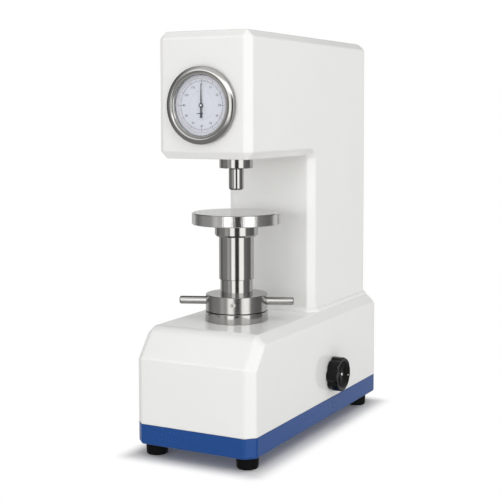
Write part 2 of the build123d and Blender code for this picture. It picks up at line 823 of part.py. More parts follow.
def build_rod(turn):
    """Turning rod with a rounded tip, seated in the capstan."""
    start = capstan_diameter / 2 - rod_socket
    rod = bar_x(rod_diameter, start, rod_tip, 0, rod_height)
    tip = [e for e in rod.edges() if near(e.center().X, rod_tip)]
    return Rot(0, 0, rod_turn + turn) * fillet(tip, rod_tip_round)


def build_capstan_plugs():
    """Set screws in the two radial seats that hold no rod."""
    r = capstan_diameter / 2
    plug = bar_x(plug_diameter, r - rod_socket + 1, r - 1.2, 0, rod_height)
    hexagon = Pos(r - 4.5, 0, rod_height) * Rot(0, 90, 0) * extrude(RegularPolygon(2.4, 6), 6)
    plug -= hexagon
    return group([Rot(0, 0, rod_turn + turn) * plug for turn in (90, 270)])


def build_elevating_screw():
    """Non-turning screw with a keyway and a seat for the anvil's shank."""
    screw = disc(screw_diameter, screw_bottom, anvil_bottom)
    screw = chamfer(screw.edges().sort_by(Axis.Z)[0], 1.5)
    socket = anvil_shank_diameter + 2 * running_gap
    screw -= disc(socket, anvil_bottom - anvil_shank_length - 2, anvil_bottom + 1)
    keyway_top = capstan_top + screw_fall - sleeve_room
    screw -= block(-key_width / 2 - 0.2, key_width / 2 + 0.2, screw_diameter / 2 - key_depth,
                   screw_diameter, screw_bottom - 1, keyway_top)
    return screw


def build_lower_sleeve():
    """Dust sleeve that turns with the capstan."""
    bore = lower_sleeve_diameter - 2 * sleeve_wall
    return tube(lower_sleeve_diameter, bore, capstan_top - sleeve_seat, lower_sleeve_top)


def build_upper_sleeve():
    """Dust sleeve that rises with the screw."""
    bore = upper_sleeve_diameter - 2 * sleeve_wall
    sleeve = tube(upper_sleeve_diameter, bore, upper_sleeve_bottom, collar_bottom + sleeve_seat)
    return chamfer(sleeve.faces().sort_by(Axis.Z)[0].edges(), sleeve_wall * 0.4)


def build_anvil_collar():
    """Collar on the screw's head that carries the anvil and the upper sleeve."""
    r = collar_diameter / 2
    sleeve = upper_sleeve_diameter / 2
    bore = screw_diameter / 2
    edge = collar_chamfer / 5
    return turned([(bore, anvil_bottom), (r - edge, anvil_bottom), (r, anvil_bottom - edge),
                   (r, collar_bottom + collar_chamfer), (r - collar_chamfer, collar_bottom),
                   (sleeve, collar_bottom), (sleeve, collar_bottom + sleeve_seat),
                   (bore, collar_bottom + sleeve_seat)])


def build_anvil():
    """Large flat testing table with its shank."""
    plate = disc(anvil_diameter, anvil_bottom, anvil_top)
    plate = chamfer(plate.edges().filter_by(GeomType.CIRCLE), anvil_edge)
    shank = disc(anvil_shank_diameter, anvil_bottom - anvil_shank_length, anvil_bottom + 1)
    return plate + chamfer(shank.edges().sort_by(Axis.Z)[0], 1.0)


# ---------------------------------------------------------------------------------------------
# Spindle
# ---------------------------------------------------------------------------------------------
def bush_screw_places():
    """Screws that hold the spindle bush under the head."""
    r = (bush_barrel_diameter + bush_flange_diameter) / 4
    return [(r * cos(radians(a)), r * sin(radians(a))) for a in guide_bolt_angles]


def build_spindle_bush():
    """Flanged bush in the floor of the head."""
    low = head_under - bush_flange_height
    r = bush_flange_diameter / 2
    bore = spindle_diameter / 2 + running_gap
    bush = turned([(bore, low), (r - 1, low), (r, low + 1), (r, head_under - 1.6), (r - 0.8, head_under),
                   (bush_barrel_diameter / 2, head_under), (bush_barrel_diameter / 2, bush_top),
                   (bore, bush_top)])
    for x, y in bush_screw_places():
        bush -= disc(m5 + bolt_clearance, low - 1, head_under + 1, x, y)
        bush -= disc(bush_head + 4 * fit_gap, low - 1, low + bush_sink, x, y)
    return bush


def build_bush_screws():
    """Screws of the spindle bush, heads sunk in its flange."""
    low = head_under - bush_flange_height
    screw = Rot(180, 0, 0) * cap_screw(m5, bush_flange_height - bush_sink + bush_thread, bush_head, m5)
    return group([Pos(x, y, low + bush_sink) * screw for x, y in bush_screw_places()])


def build_main_spindle():
    """Spindle with the round nose that holds the penetrator."""
    nose = turned([(0, nose_bottom), (nose_diameter / 2 - nose_edge, nose_bottom),
                   (nose_diameter / 2 - nose_edge * 0.3, nose_bottom + nose_edge * 0.45),
                   (nose_diameter / 2, nose_bottom + nose_edge), (nose_diameter / 2, nose_top - 1),
                   (nose_diameter / 2 - 1, nose_top), (spindle_diameter / 2, nose_top),
                   (spindle_diameter / 2, spindle_top), (0, spindle_top)])
    nose -= disc(shank_diameter + 2 * running_gap, nose_bottom - 1, nose_bottom + shank_length)
    nose -= bar_y(m4 + 2 * fit_gap, 0, nose_diameter, 0, nose_bottom + shank_length / 2)
    nose -= bar_x(lift_pin_diameter, -spindle_diameter / 2 + 2, spindle_diameter, 0, lift_pin_height)
    return nose


def build_spindle_seat():
    """Hardened grooved seat on top of the spindle."""
    top = knife_height + seat_groove
    seat = disc(seat_diameter, spindle_top, top)
    return seat - vee(0.0, knife_height - knife_gap, seat_groove + 0.2, seat_diameter, 1)


def build_lift_pin():
    """Pin that passes the spindle's lift to the measuring lever."""
    return bar_x(lift_pin_diameter, -spindle_diameter / 2 + 2, measuring_side + 5, 0, lift_pin_height)


def build_penetrator():
    """Ball penetrator with its standard shank."""
    r = shank_diameter / 2
    ball = ball_diameter / 2
    shank = turned([(0, nose_bottom - tip_reach + ball), (ball, nose_bottom - tip_reach + ball),
                    (r - 0.6, nose_bottom), (r, nose_bottom + 0.6), (r, nose_bottom + shank_length - 0.1),
                    (0, nose_bottom + shank_length - 0.1)])
    return shank + Pos(0, 0, nose_bottom - tip_reach + ball) * Sphere(ball)


def build_penetrator_screw():
    """Set screw at the back of the nose that clamps the penetrator."""
    z = nose_bottom + shank_length / 2
    return bar_y(m4, shank_diameter / 2 + running_gap, nose_diameter / 2 - 0.5, 0, z)


# ---------------------------------------------------------------------------------------------
# Lever
# ---------------------------------------------------------------------------------------------
def bracket_bolt_places():
    """Bolts of the bracket that carries the lever's fulcrum."""
    x = post_inner + post_thickness + 9
    return grid((-x, x), (post_front + 12, post_back - 12))


def build_fulcrum_bracket():
    """Bridge over the lever: two posts on feet and a crossbar."""
    bar_low = knife_height + bearing_rise
    outer = post_inner + post_thickness
    bridge = block(-outer, outer, -knife_pitch - 10, -knife_pitch + 10, bar_low, bar_low + crossbar_height)
    web = [(post_front, head_floor), (post_back, head_floor), (post_back, head_floor + 46),
           (-knife_pitch + 10, bar_low + crossbar_height), (-knife_pitch - 10, bar_low + crossbar_height),
           (post_front, head_floor + 46)]
    post = extrude(Plane.YZ * make_face(Polyline(*web, close=True)), post_thickness)
    for x in (-outer, post_inner):
        bridge += Pos(x, 0, 0) * post
    foot_reach = outer + 17
    for side in (-1, 1):
        a, b = sorted((side * post_inner, side * foot_reach))
        bridge += block(a, b, post_front, post_back, head_floor, head_floor + bracket_foot)
    for x, y in bracket_bolt_places():
        bridge -= disc(m8 + bolt_clearance, head_floor - 1, head_floor + bracket_foot + 1, x, y)
    bridge -= bar_x(pivot_diameter, 0, post_inner + 10, measuring_pivot_y, measuring_height())
    return bridge


def build_fulcrum_bearings():
    """Two hardened grooved blocks under the crossbar."""
    blocks = []
    for side in (-1, 1):
        a, b = sorted((side * bearing_inner, side * (bearing_inner + bearing_width)))
        body = block(a, b, -knife_pitch - bearing_depth / 2, -knife_pitch + bearing_depth / 2,
                     knife_height - seat_groove, knife_height + bearing_rise)
        blocks.append(body - vee(-knife_pitch, knife_height + knife_gap, seat_groove * 1.1, 2 * b, -1))
    return group(blocks)


def build_fulcrum_knife():
    """Knife edge that the whole lever turns on."""
    return straight_knife(-knife_pitch, knife_length, up=True)


def build_load_knife():
    """Knife edge that presses on the spindle."""
    knife = straight_knife(0.0, lever_width - 2, up=False)
    top = knife_height + knife_size
    half = knife_size * KNIFE_SLOPE
    return knife + block(-lever_width / 2 + 1, lever_width / 2 - 1, -half, half, top, top + 3)


def build_hanger_knife():
    """Knife edge that carries the weights."""
    return straight_knife(hanger_y, hanger_knife_length, up=True)


def build_main_lever():
    """Deep forged lever, notched over the spindle and stepped down under the weight hanger."""
    end = knife_height - knife_size
    y = hanger_y
    nose = -knife_pitch - lever_nose
    taper = lever_top - (lever_top - end) / 2
    outline = [(nose, lever_bottom), (nose, lever_top - 8), (nose + 8, lever_top), (y / 2, lever_top - 5),
               (y - 2.4 * lever_tip, taper), (y - lever_tip, end), (y + lever_tip, end),
               (y + lever_tip, end - lever_tip_depth), (y - 4 * lever_tip, end - lever_tip_depth),
               (y - 6 * lever_tip, lever_bottom)]
    lever = side_plate(outline, lever_width / 2)
    notch = seat_diameter / 2
    lever -= block(-lever_width, lever_width, -notch - 0.8, notch + 1.3, lever_bottom - 1, knife_height + 5)
    lever -= block(-lever_width, lever_width, notch, spindle_diameter / 2 + 4, lever_bottom - 1,
                   lever_bottom + 3)
    lever -= build_load_knife()
    lever -= build_fulcrum_knife()
    for place in (0.25, 0.51):
        lever -= lightening_slot(y * place)
    return lever


def lightening_slot(y):
    """Cutter for a lightening hole through the lever's web."""
    middle = (lever_bottom + lever_top - 6) / 2
    slot = SlotOverall(lever_slot, lever_slot * 0.3)
    return Plane.YZ * Pos(y, middle, 0) * extrude(slot, lever_width, both=True)


def build_poise():
    """Balance weight that sets the preliminary load, clamped on the lever."""
    y = -knife_pitch - lever_nose / 2 - 0.8
    return block(-lever_width / 2 - 7, -lever_width / 2, y - 8, y + 3, lever_bottom + 2, lever_top - 9)


# ---------------------------------------------------------------------------------------------
# Weights, dashpot and drives
# ---------------------------------------------------------------------------------------------
def weight_bottoms():
    """Height of each weight's underside, from the lowest."""
    heights = []
    z = weight_floor
    for tall in weight_heights:
        heights.append(z)
        z += tall + weight_gap
    return heights


def build_hanger():
    """Stirrup over the lever's end, with the rod that carries the weights and the piston."""
    groove = knife_height + stirrup_rise
    half = hanger_knife_length / 2 + 1
    plate = stirrup_bar
    low = knife_height - knife_size - lever_tip_depth - stirrup_room
    high = groove + stirrup_top
    y = hanger_y
    deep = stirrup_depth / 2
    frame = block(-half - plate, half + plate, y - deep, y + deep, low - plate, high)
    frame -= block(-half, half, y - deep - 1, y + deep + 1, low, groove)
    frame -= vee(y, groove + seat_groove, seat_groove, half, -1)
    rod = [disc(hanger_rod_diameter, dashpot_top + 4, low - 1, 0, y)]
    for z in weight_bottoms():
        rod.append(disc(weight_collar, z - weight_gap, z, 0, y))
    top = lift_plate_under + lift_plate_thickness
    lift = disc(lift_plate_diameter, lift_plate_under, top, 0, y)
    tongue = block(cam_side - cam_width, 0, y - tongue_width / 2, y + tongue_width / 2, lift_plate_under, top)
    stem = disc(piston_rod, piston_bottom + 1, dashpot_top + 5, 0, y)
    piston = disc(piston_diameter, piston_bottom, piston_bottom + piston_thickness, 0, y)
    return frame + rod + lift + tongue + stem + piston


def build_weight(index):
    """One round weight on the hanger's rod."""
    z = weight_bottoms()[index]
    body = disc(weight_diameter, z, z + weight_heights[index], 0, hanger_y)
    body = chamfer(body.edges().filter_by(GeomType.CIRCLE), 1.0)
    return body - disc(hanger_rod_diameter + 0.7, z - 1, z + 60, 0, hanger_y)


def build_dashpot():
    """Oil dashpot that slows the fall of the weights."""
    inside = dashpot_diameter - 2 * dashpot_wall
    y = hanger_y
    pot = disc(dashpot_diameter, pan_floor_top, dashpot_top, 0, y)
    pot += disc(dashpot_diameter + 22, pan_floor_top, pan_floor_top + 7, 0, y)
    pot -= disc(inside, pan_floor_top + 10, dashpot_top - 6, 0, y)
    return pot - disc(piston_rod + 0.7, dashpot_top - 10, dashpot_top + 1, 0, y)


def cam_outline(high, low, fall, count):
    """Points of a constant-fall cam, high at the top, with the same fall on both sides of it."""
    points = []
    for k in range(count + 1):
        turn = fall * k / count
        radius = high + (low - high) * k / count
        points.append((radius * sin(turn), radius * cos(turn)))
    return points


def build_load_cam():
    """Heart-shaped cam that lifts the weights off the lever, with its shaft."""
    right = cam_outline(cam_radius, cam_radius - hanger_fall, pi, 10)
    left = [(-y, z) for y, z in reversed(right)]
    edge = Spline(*right) + Spline(*left)
    plate = extrude(Plane.YZ * make_face(edge), cam_width / 2, both=True)
    cam = Pos(cam_side, hanger_y, cam_height) * plate
    x0, x1 = gearbox_side - gearbox_socket, cam_side + cam_width / 2 + 3
    shaft = bar_x(cam_shaft_diameter, x0, x1, hanger_y, cam_height)
    return cam + shaft


def build_load_motor():
    """Gear motor on a bracket on the pan, turning the cam."""
    x0 = -half_base + base_wall + gearbox_gap
    y, z = hanger_y, cam_height
    half = gearbox_width / 2
    box = block(x0, gearbox_side, y - half, y + half, z - half, z + half)
    socket = gearbox_side - gearbox_socket - 1
    box -= bar_x(cam_shaft_diameter + 2 * running_gap, socket, gearbox_side + 1, y, z)
    motor = bar_y(motor_diameter, y + half, base_back - motor_back_room, (x0 + gearbox_side) / 2, z)
    leg = gearbox_width / 8
    legs = block(x0, gearbox_side, y - half, y - half + leg, pan_floor_top, z - half)
    legs += block(x0, gearbox_side, y + half - leg, y + half, pan_floor_top, z - half)
    return box + motor + legs


def build_knob():
    """Force selector knob with shallow flutes and a dished face."""
    x0 = half_base + knob_gap
    x1 = x0 + knob_thickness
    knob = bar_x(knob_diameter, x0, x1, knob_y, knob_z)
    knob = chamfer([e for e in knob.edges() if near(e.center().X, x1)], knob_edge)
    reach = knob_diameter / 2 + flute_radius - knob_flute
    for k in range(knob_lobes):
        turn = 2 * pi * (k + 0.5) / knob_lobes
        y, z = knob_y + reach * cos(turn), knob_z + reach * sin(turn)
        knob -= bar_x(2 * flute_radius, x0 - 1, x1 + 1, y, z)
    rim = knob_rim * knob_diameter / 2
    dish = turned([(0, -knob_dish), (knob_hub, -knob_dish), (rim, 0), (rim, 1), (0, 1)])
    knob -= Pos(x1, knob_y, knob_z) * Rot(0, 90, 0) * dish
    return knob - bar_x(selector_shaft_diameter, x0 - 1, x1 - knob_wall, knob_y, knob_z)


def build_selector_shaft():
    """Shaft behind the knob, with the snail cam that lowers the weight carrier."""
    end = half_base + knob_gap + knob_thickness - knob_wall
    shaft = bar_x(selector_shaft_diameter, -selector_reach, end, knob_y, knob_z)
    turn = radians(selector_turn)
    falling = cam_outline(snail_radius, snail_radius - carrier_fall, turn, 8)
    low = snail_radius - carrier_fall
    back = [(low * sin(a), low * cos(a)) for a in (turn + 0.6, pi, 2 * pi - 1.2)]
    snail = make_face(Spline(*falling) + Polyline(falling[-1], *back, (-6, snail_radius - 1), falling[0]))
    return shaft + Pos(0, knob_y, knob_z) * extrude(Plane.YZ * snail, 6, both=True)


def build_selector_bush():
    """Bush of the selector shaft in the side of the base."""
    x1 = half_base
    bush = bar_x(selector_bush_diameter, x1 - base_wall - 6, x1, knob_y, knob_z)
    bush += bar_x(selector_bush_diameter + 8, x1 - base_wall - 6, x1 - base_wall, knob_y, knob_z)
    return bush - bar_x(selector_shaft_diameter + 2 * running_gap, x1 - 40, x1 + 1, knob_y, knob_z)


def build_selector_bearing():
    """Pillar on the pan that carries the inner end of the selector shaft."""
    half = pillar_width / 2
    x0, x1 = -selector_reach, -selector_reach + pillar_thickness
    pillar = block(x0, x1, knob_y - half, knob_y + half, pan_floor_top, knob_z + half)
    pillar += block(x0 - pillar_foot, x1 + pillar_foot, knob_y - half, knob_y + half, pan_floor_top,
                    pan_floor_top + pillar_foot)
    return pillar - bar_x(selector_shaft_diameter + 2 * running_gap, x0 - 1, x1 + 1, knob_y, knob_z)


def build_carrier():
    """Fork that takes weights off the hanger; it slides on two posts and rides on the snail cam."""
    top = weight_floor - carrier_gap
    pad = knob_z + snail_radius + carrier_rest
    front = knob_y - post_offset - 8
    yoke = block(-carrier_outer, carrier_outer, front, knob_y + 8, pad + 6, pad + 20)
    yoke += block(-9, 9, knob_y - 8, knob_y + 8, pad, pad + 6)
    for side in (-1, 1):
        a, b = sorted((side * (carrier_outer - 12), side * carrier_outer))
        yoke += block(a, b, knob_y - 4, knob_y + 8, pad + 6, top)
        yoke += block(a, b, knob_y - 4, hanger_y + 44, top - 10, top)
        yoke -= disc(carrier_post + 2 * running_gap, pad, pad + 30, side * post_side, knob_y - post_offset)
    return yoke


def build_carrier_posts():
    """Two posts on the pan that guide the carrier."""
    top = knob_z + snail_radius + carrier_post_rise
    y = knob_y - post_offset
    return group([disc(carrier_post, pan_floor_top, top, side * post_side, y)
                  + disc(2 * carrier_post, pan_floor_top, pan_floor_top + 5, side * post_side, y)
                  for side in (-1, 1)])


# ---------------------------------------------------------------------------------------------
# Dial
# ---------------------------------------------------------------------------------------------
def measuring_height():
    """Height of the measuring lever's pivot."""
    return lift_pin_height + lift_pin_diameter / 2 + measuring_gap + measuring_depth / 2


def build_dial_case():
    """Cup in the head's front wall with the movement housing behind it."""
    r = dial_case_diameter / 2
    wall = case_wall
    front = head_front - case_flange
    back = head_front + dial_case_depth
    deep = back + movement_depth
    inner = movement_diameter / 2 - wall
    rim = bezel_diameter / 2 - 1.5
    case = turned_y([(r - wall, front), (rim, front), (rim, head_front), (r, head_front), (r, back),
                     (movement_diameter / 2, back), (movement_diameter / 2, deep), (0, deep),
                     (0, deep - wall), (inner, deep - wall), (inner, back), (arbor_hole, back),
                     (arbor_hole, back - wall), (r - wall, back - wall)], 0, dial_height)
    stem_top = dial_height - movement_diameter / 2 + 3
    stem = disc(plunger_diameter + 4, stem_top - 6.5, stem_top, 0, plunger_y)
    case += stem
    case -= disc(plunger_diameter + 2 * running_gap, stem_top - 20, dial_height, 0, plunger_y)
    return case - Pos(0, 0, dial_height - small_dial_drop) * bar_y(1.6, back - wall - 1, back + 1, 0, 0)


def build_bezel():
    """Polished ring that turns with the dial face and holds the crystal."""
    r = bezel_diameter / 2
    opening = bezel_opening / 2
    back = head_front - case_flange - 0.3
    front = head_front - bezel_depth
    ledge = dial_plane() + dial_face_thickness
    lip = spigot_outer() - spigot_lip
    groove = opening + bezel_groove
    profile = Polyline((r, back), (spigot_outer(), back), (spigot_outer(), ledge), (lip, ledge),
                       (lip, crystal_plane()), (opening, crystal_plane()), (opening, front + 1.8),
                       (opening + 0.8, front + 1.0), (groove - 0.8, front + 1.0), (groove - 0.4, front + 1.5),
                       (groove, front + 0.9))
    crown = ThreePointArc((groove, front + 0.9), ((groove + r) / 2 + 2, front), (r, front + 3.2))
    ring = make_face(profile + crown + Line((r, front + 3.2), (r, back)))
    return Pos(0, 0, dial_height) * revolve(ring, Axis.Y)


def spigot_outer():
    """Radius of the bezel's spigot inside the case."""
    return dial_case_diameter / 2 - case_wall - 0.4


def crystal_plane():
    """Front of the crystal."""
    return head_front - bezel_depth + crystal_depth


def dial_plane():
    """Front of the dial face."""
    return crystal_plane() + crystal_thickness + dial_face_recess


def build_crystal():
    """Flat glass held in the bezel."""
    y = crystal_plane()
    return bar_y(2 * (spigot_outer() - spigot_lip - fit_gap), y + 0.02, y + crystal_thickness, 0, dial_height)


def build_dial_face():
    """Dial face that turns with the bezel."""
    y = dial_plane()
    face = bar_y(2 * (spigot_outer() - spigot_lip - fit_gap), y, y + dial_face_thickness, 0, dial_height)
    return face - bar_y(dial_centre_diameter + 2 * seam_gap, y - 1, y + 3, 0, dial_height)


def build_dial_centre():
    """Fixed middle of the dial, on a post in the case, that carries the small dial."""
    y = dial_plane()
    back = head_front + dial_case_depth - case_wall
    rear = y + dial_face_thickness
    centre = bar_y(dial_centre_diameter, y, rear + 1.4, 0, dial_height)
    centre += bar_y(dial_centre_diameter + seam_flange, rear + seam_gap, rear + 1.4, 0, dial_height)
    centre += bar_y(4 * arbor_hole, y, back, 0, dial_height)
    centre -= bar_y(2 * arbor_hole, y - 1, back + 1, 0, dial_height)
    return centre - bar_y(2.0, y - 1, back + 1, 0, dial_height - small_dial_drop)


def pointer_outline(length, tail, width, tail_width):
    """Slim pointer along +Z with a broad tail."""
    return [(-width / 2, 0), (-0.25, length), (0.25, length), (width / 2, 0),
            (tail_width / 2, -tail * 0.55), (tail_width * 0.75, -tail), (-tail_width * 0.75, -tail),
            (-tail_width / 2, -tail * 0.55)]


def build_main_pointer():
    """Long pointer with its hub and arbor."""
    y = dial_plane() - 2.6
    blade = extrude(Plane.XZ * make_face(Polyline(*pointer_outline(pointer_length, pointer_tail, 2.4, 2.6),
                                                  close=True)), -0.6)
    pointer = Pos(0, y, dial_height) * blade
    pointer += bar_y(7.0, y - 0.9, y + 1.0, 0, dial_height)
    arbor_end = head_front + dial_case_depth + movement_depth - case_wall - seam_gap
    return pointer + bar_y(2.0, y, arbor_end, 0, dial_height)


def build_small_pointer():
    """Short pointer that shows the preliminary load."""
    y = dial_plane() - 1.2
    z = dial_height - small_dial_drop
    outline = [(0, -0.9), (-small_pointer_length, -0.3), (-small_pointer_length, 0.3), (0, 0.9), (2.4, 0.9),
               (2.4, -0.9)]
    blade = extrude(Plane.XZ * make_face(Polyline(*outline, close=True)), -0.5)
    arbor_end = head_front + dial_case_depth + 6.0
    return Pos(0, y, z) * blade + bar_y(1.4, y, arbor_end, 0, z)


def build_plunger():
    """Dial plunger that stands on the measuring lever."""
    low = measuring_height() + measuring_depth / 2 + 0.05
    plunger = disc(plunger_diameter, low, low + plunger_length, 0, plunger_y)
    return fillet(plunger.edges().sort_by(Axis.Z)[0], 1.2)


def build_measuring_lever():
    """Lever that passes the spindle's lift to the dial at five to one."""
    z = measuring_height()
    low = z - measuring_depth / 2
    high = z + measuring_depth / 2
    x = measuring_side
    arm = block(x - 3, x + 3, plunger_y - 4, measuring_pivot_y + 7, low, high)
    arm += block(-5, x + 3, plunger_y - 4, plunger_y + 4, low, high)
    return arm - bar_x(pivot_diameter + 2 * running_gap, x - 10, x + 10, measuring_pivot_y, z)


def build_measuring_pivot():
    """Pin in the bracket that the measuring lever turns on."""
    return bar_x(pivot_diameter, measuring_side - 6, post_inner + 10, measuring_pivot_y, measuring_height())


# ---------------------------------------------------------------------------------------------
# Supply
# ---------------------------------------------------------------------------------------------
def build_power_inlet():
    """Three-pin appliance inlet in the base's back wall."""
    y = base_back
    wide, tall = inlet_width / 2, inlet_tall / 2
    body = block(-wide, wide, y - 20, y, -tall, tall)
    body += block(-wide - 11, wide + 11, y, y + 2.5, -tall - 2, tall + 2)
    body -= block(-12, 12, y - 15, y + 3, -8, 8)
    for x, z in ((0, 2.5), (-7, -2), (7, -2)):
        body += block(x - 1, x + 1, y - 15, y - 1, z - 2, z + 2)
    return Pos(inlet_x, 0, inlet_height) * body


def build_switch_frame():
    """Frame of the power switch."""
    y = base_back
    wide, tall = switch_width / 2, switch_tall / 2
    body = block(-wide, wide, y - 18, y, -tall, tall)
    body += block(-wide - 2, wide + 2, y, y + 2, -tall - 2, tall + 2)
    body -= block(-wide + 2, wide - 2, y - 12, y + 3, -tall + 2, tall - 2)
    return Pos(switch_x, 0, inlet_height) * body


def build_switch_rocker():
    """Rocker of the power switch, pivoted in the middle of its frame."""
    half = switch_width / 2 - 2.4
    tall = switch_tall / 2 - 2.9
    outline = [(-7, -4), (2.5, -tall), (4.2, -tall), (2.6, 0), (4.2, tall), (2.5, tall), (-7, 4)]
    body = side_plate(outline, half)
    return Pos(switch_x, base_back - 1.5, inlet_height) * Rot(-rocker_throw / 2, 0, 0) * body


def build_control_board():
    """Controller of the motor on four standoffs on the pan."""
    x0, x1, y0, y1 = board_area
    z = pan_floor_top + board_rise
    top = z + board_thickness
    board = block(x0, x1, y0, y1, z, top)
    for x, y in grid((x0 + board_corner, x1 - board_corner), (y0 + board_corner, y1 - board_corner)):
        board += disc(standoff_diameter, pan_floor_top, z, x, y)
    x, y = x0 + 2 * board_corner, y0 + 2 * board_corner
    board += block(x, x + transformer_width, y, y + transformer_width, top, top + transformer_height)
    for k in range(3):
        board += disc(capacitor_diameter, top, top + 1.2 * capacitor_diameter,
                      x1 - 14 - 1.4 * capacitor_diameter * k, y1 - 14)
    return board


def build_all():
    """Every piece, by the name of its file."""
    made = {
        "base_casting": build_base_casting(),
        "base_pan": build_base_pan(),
        "column_casting": build_column_casting(),
        "top_cover": build_top_cover(),
        "back_cover": build_back_cover(),
        "cover_screws": build_cover_screws(),
        "rubber_feet": group([build_foot(*place) for place in foot_places()]),
        "m8_bolts": group(build_frame_bolts() + build_pan_bolts() + build_foot_bolts()),
        "screw_guide": build_screw_guide(),
        "guide_key": key_slot(),
        "guide_bolts": build_guide_bolts(),
        "thrust_bearing": build_thrust_bearing(),
        "thrust_race_upper": race(ring_top + 1),
        "capstan": build_capstan(),
        "turning_rods": group([build_rod(0), build_rod(180)]),
        "capstan_plugs": build_capstan_plugs(),
        "lower_sleeve": build_lower_sleeve(),
        "elevating_screw": build_elevating_screw(),
        "anvil_collar": build_anvil_collar(),
        "upper_sleeve": build_upper_sleeve(),
        "anvil": build_anvil(),
        "spindle_bush": build_spindle_bush(),
        "bush_screws": build_bush_screws(),
        "main_spindle": build_main_spindle(),
        "spindle_seat": build_spindle_seat(),
        "lift_pin": build_lift_pin(),
        "penetrator": build_penetrator(),
        "penetrator_screw": build_penetrator_screw(),
        "fulcrum_bracket": build_fulcrum_bracket(),
        "fulcrum_bearings": build_fulcrum_bearings(),
        "lever_knives": group([build_fulcrum_knife(), build_load_knife(), build_hanger_knife()]),
        "main_lever": build_main_lever(),
        "lever_poise": build_poise(),
        "weight_hanger": build_hanger(),
        "dashpot": build_dashpot(),
        "load_cam": build_load_cam(),
        "load_motor": build_load_motor(),
        "selector_knob": build_knob(),
        "selector_shaft": build_selector_shaft(),
        "selector_bush": build_selector_bush(),
        "selector_bearing": build_selector_bearing(),
        "weight_carrier": build_carrier(),
        "carrier_posts": build_carrier_posts(),
        "dial_case": build_dial_case(),
        "bezel": build_bezel(),
        "crystal": build_crystal(),
        "dial_face": build_dial_face(),
        "dial_centre": build_dial_centre(),
        "main_pointer": build_main_pointer(),
        "small_pointer": build_small_pointer(),
        "dial_plunger": build_plunger(),
        "measuring_lever": build_measuring_lever(),
        "measuring_pivot": build_measuring_pivot(),
        "power_inlet": build_power_inlet(),
        "switch_frame": build_switch_frame(),
        "switch_rocker": build_switch_rocker(),
        "control_board": build_control_board(),
    }
    return made


pieces = build_all()
for number in range(len(weight_heights)):
    pieces[f"weight_{number + 1}"] = build_weight(number)

os.makedirs("parts", exist_ok=True)
for name, shape in pieces.items():
    export_step(shape, f"parts/{name}.step")
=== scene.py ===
"""Visual model of a dial hardness tester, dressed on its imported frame.

Metres, +Z up.  The origin is where the vertical test axis meets the bench, +X is the operator's
right and +Y runs back towards the column.
"""
import logging
from dataclasses import dataclass, replace
from enum import Enum
from math import atan, cos, radians, sin, tau
from typing import Any, ClassVar, Mapping, Optional, Sequence

import bmesh
import bpy
from mathutils import Matrix, Vector


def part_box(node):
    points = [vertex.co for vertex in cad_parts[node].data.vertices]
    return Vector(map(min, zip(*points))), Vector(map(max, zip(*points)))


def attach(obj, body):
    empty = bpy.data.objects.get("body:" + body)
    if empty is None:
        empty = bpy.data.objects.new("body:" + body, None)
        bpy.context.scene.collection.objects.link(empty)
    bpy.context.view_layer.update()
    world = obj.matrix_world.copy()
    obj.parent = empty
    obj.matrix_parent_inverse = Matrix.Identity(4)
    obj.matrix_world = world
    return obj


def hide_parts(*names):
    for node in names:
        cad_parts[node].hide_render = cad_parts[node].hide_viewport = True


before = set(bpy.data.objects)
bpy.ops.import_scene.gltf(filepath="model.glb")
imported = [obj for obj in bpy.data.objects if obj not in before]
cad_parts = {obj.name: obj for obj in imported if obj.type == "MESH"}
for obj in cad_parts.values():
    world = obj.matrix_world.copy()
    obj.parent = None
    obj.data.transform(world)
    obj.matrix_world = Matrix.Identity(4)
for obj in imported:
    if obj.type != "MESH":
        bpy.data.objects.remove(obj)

log = logging.getLogger("hardness_tester")

MM = 0.001
Triple = tuple[float, float, float]
Pair = tuple[float, float]
Lines = tuple[int, float, float, float]
Socket = bpy.types.NodeSocket
COLOUR_A, COLOUR_B, MIXED_COLOUR = 6, 7, 2      # the Mix node's sockets for colours, by number


# ---------------------------------------------------------------------------------------------
# Nodes and colours
# ---------------------------------------------------------------------------------------------
def linear(hex_colour: str) -> tuple[float, float, float, float]:
    """Turn an sRGB hex value into a linear colour.

    Args:
        hex_colour: Six hex digits, such as "E9E9E7".

    Returns:
        Linear red, green and blue, and an alpha of one.
    """
    values = []
    for k in (0, 2, 4):
        level = int(hex_colour[k:k + 2], 16) / 255
        values.append(level / 12.92 if level <= 0.04045 else ((level + 0.055) / 1.055) ** 2.4)
    return values[0], values[1], values[2], 1.0


def grey(level: float) -> tuple[float, float, float, float]:
    """A neutral linear colour of the given brightness."""
    return level, level, level, 1.0


def add_node(tree: bpy.types.NodeTree, kind: str, inputs: Optional[Mapping[Any, Any]] = None,
             **settings: Any) -> bpy.types.Node:
    """Add a node with its settings, and give its inputs values or links.

    Args:
        tree: The tree that takes the node.
        kind: The node's type name.
        inputs: Values or output sockets, by the input's name or number.
        **settings: Attributes of the node.

    Returns:
        The new node.
    """
    node = tree.nodes.new(kind)
    for name, value in settings.items():
        setattr(node, name, value)
    for name, value in (inputs or {}).items():
        if isinstance(value, Socket):
            tree.links.new(value, node.inputs[name])
        else:
            node.inputs[name].default_value = value
    return node


def calculate(tree: bpy.types.NodeTree, operation: str, *values: Any) -> Socket:
    """Work out one number from others in a material's or the world's tree.

    Args:
        tree: The tree that takes the node.
        operation: The Math node's operation.
        *values: Numbers or sockets, in the operation's order.

    Returns:
        The result's socket.
    """
    return add_node(tree, "ShaderNodeMath", dict(enumerate(values)), operation=operation).outputs[0]


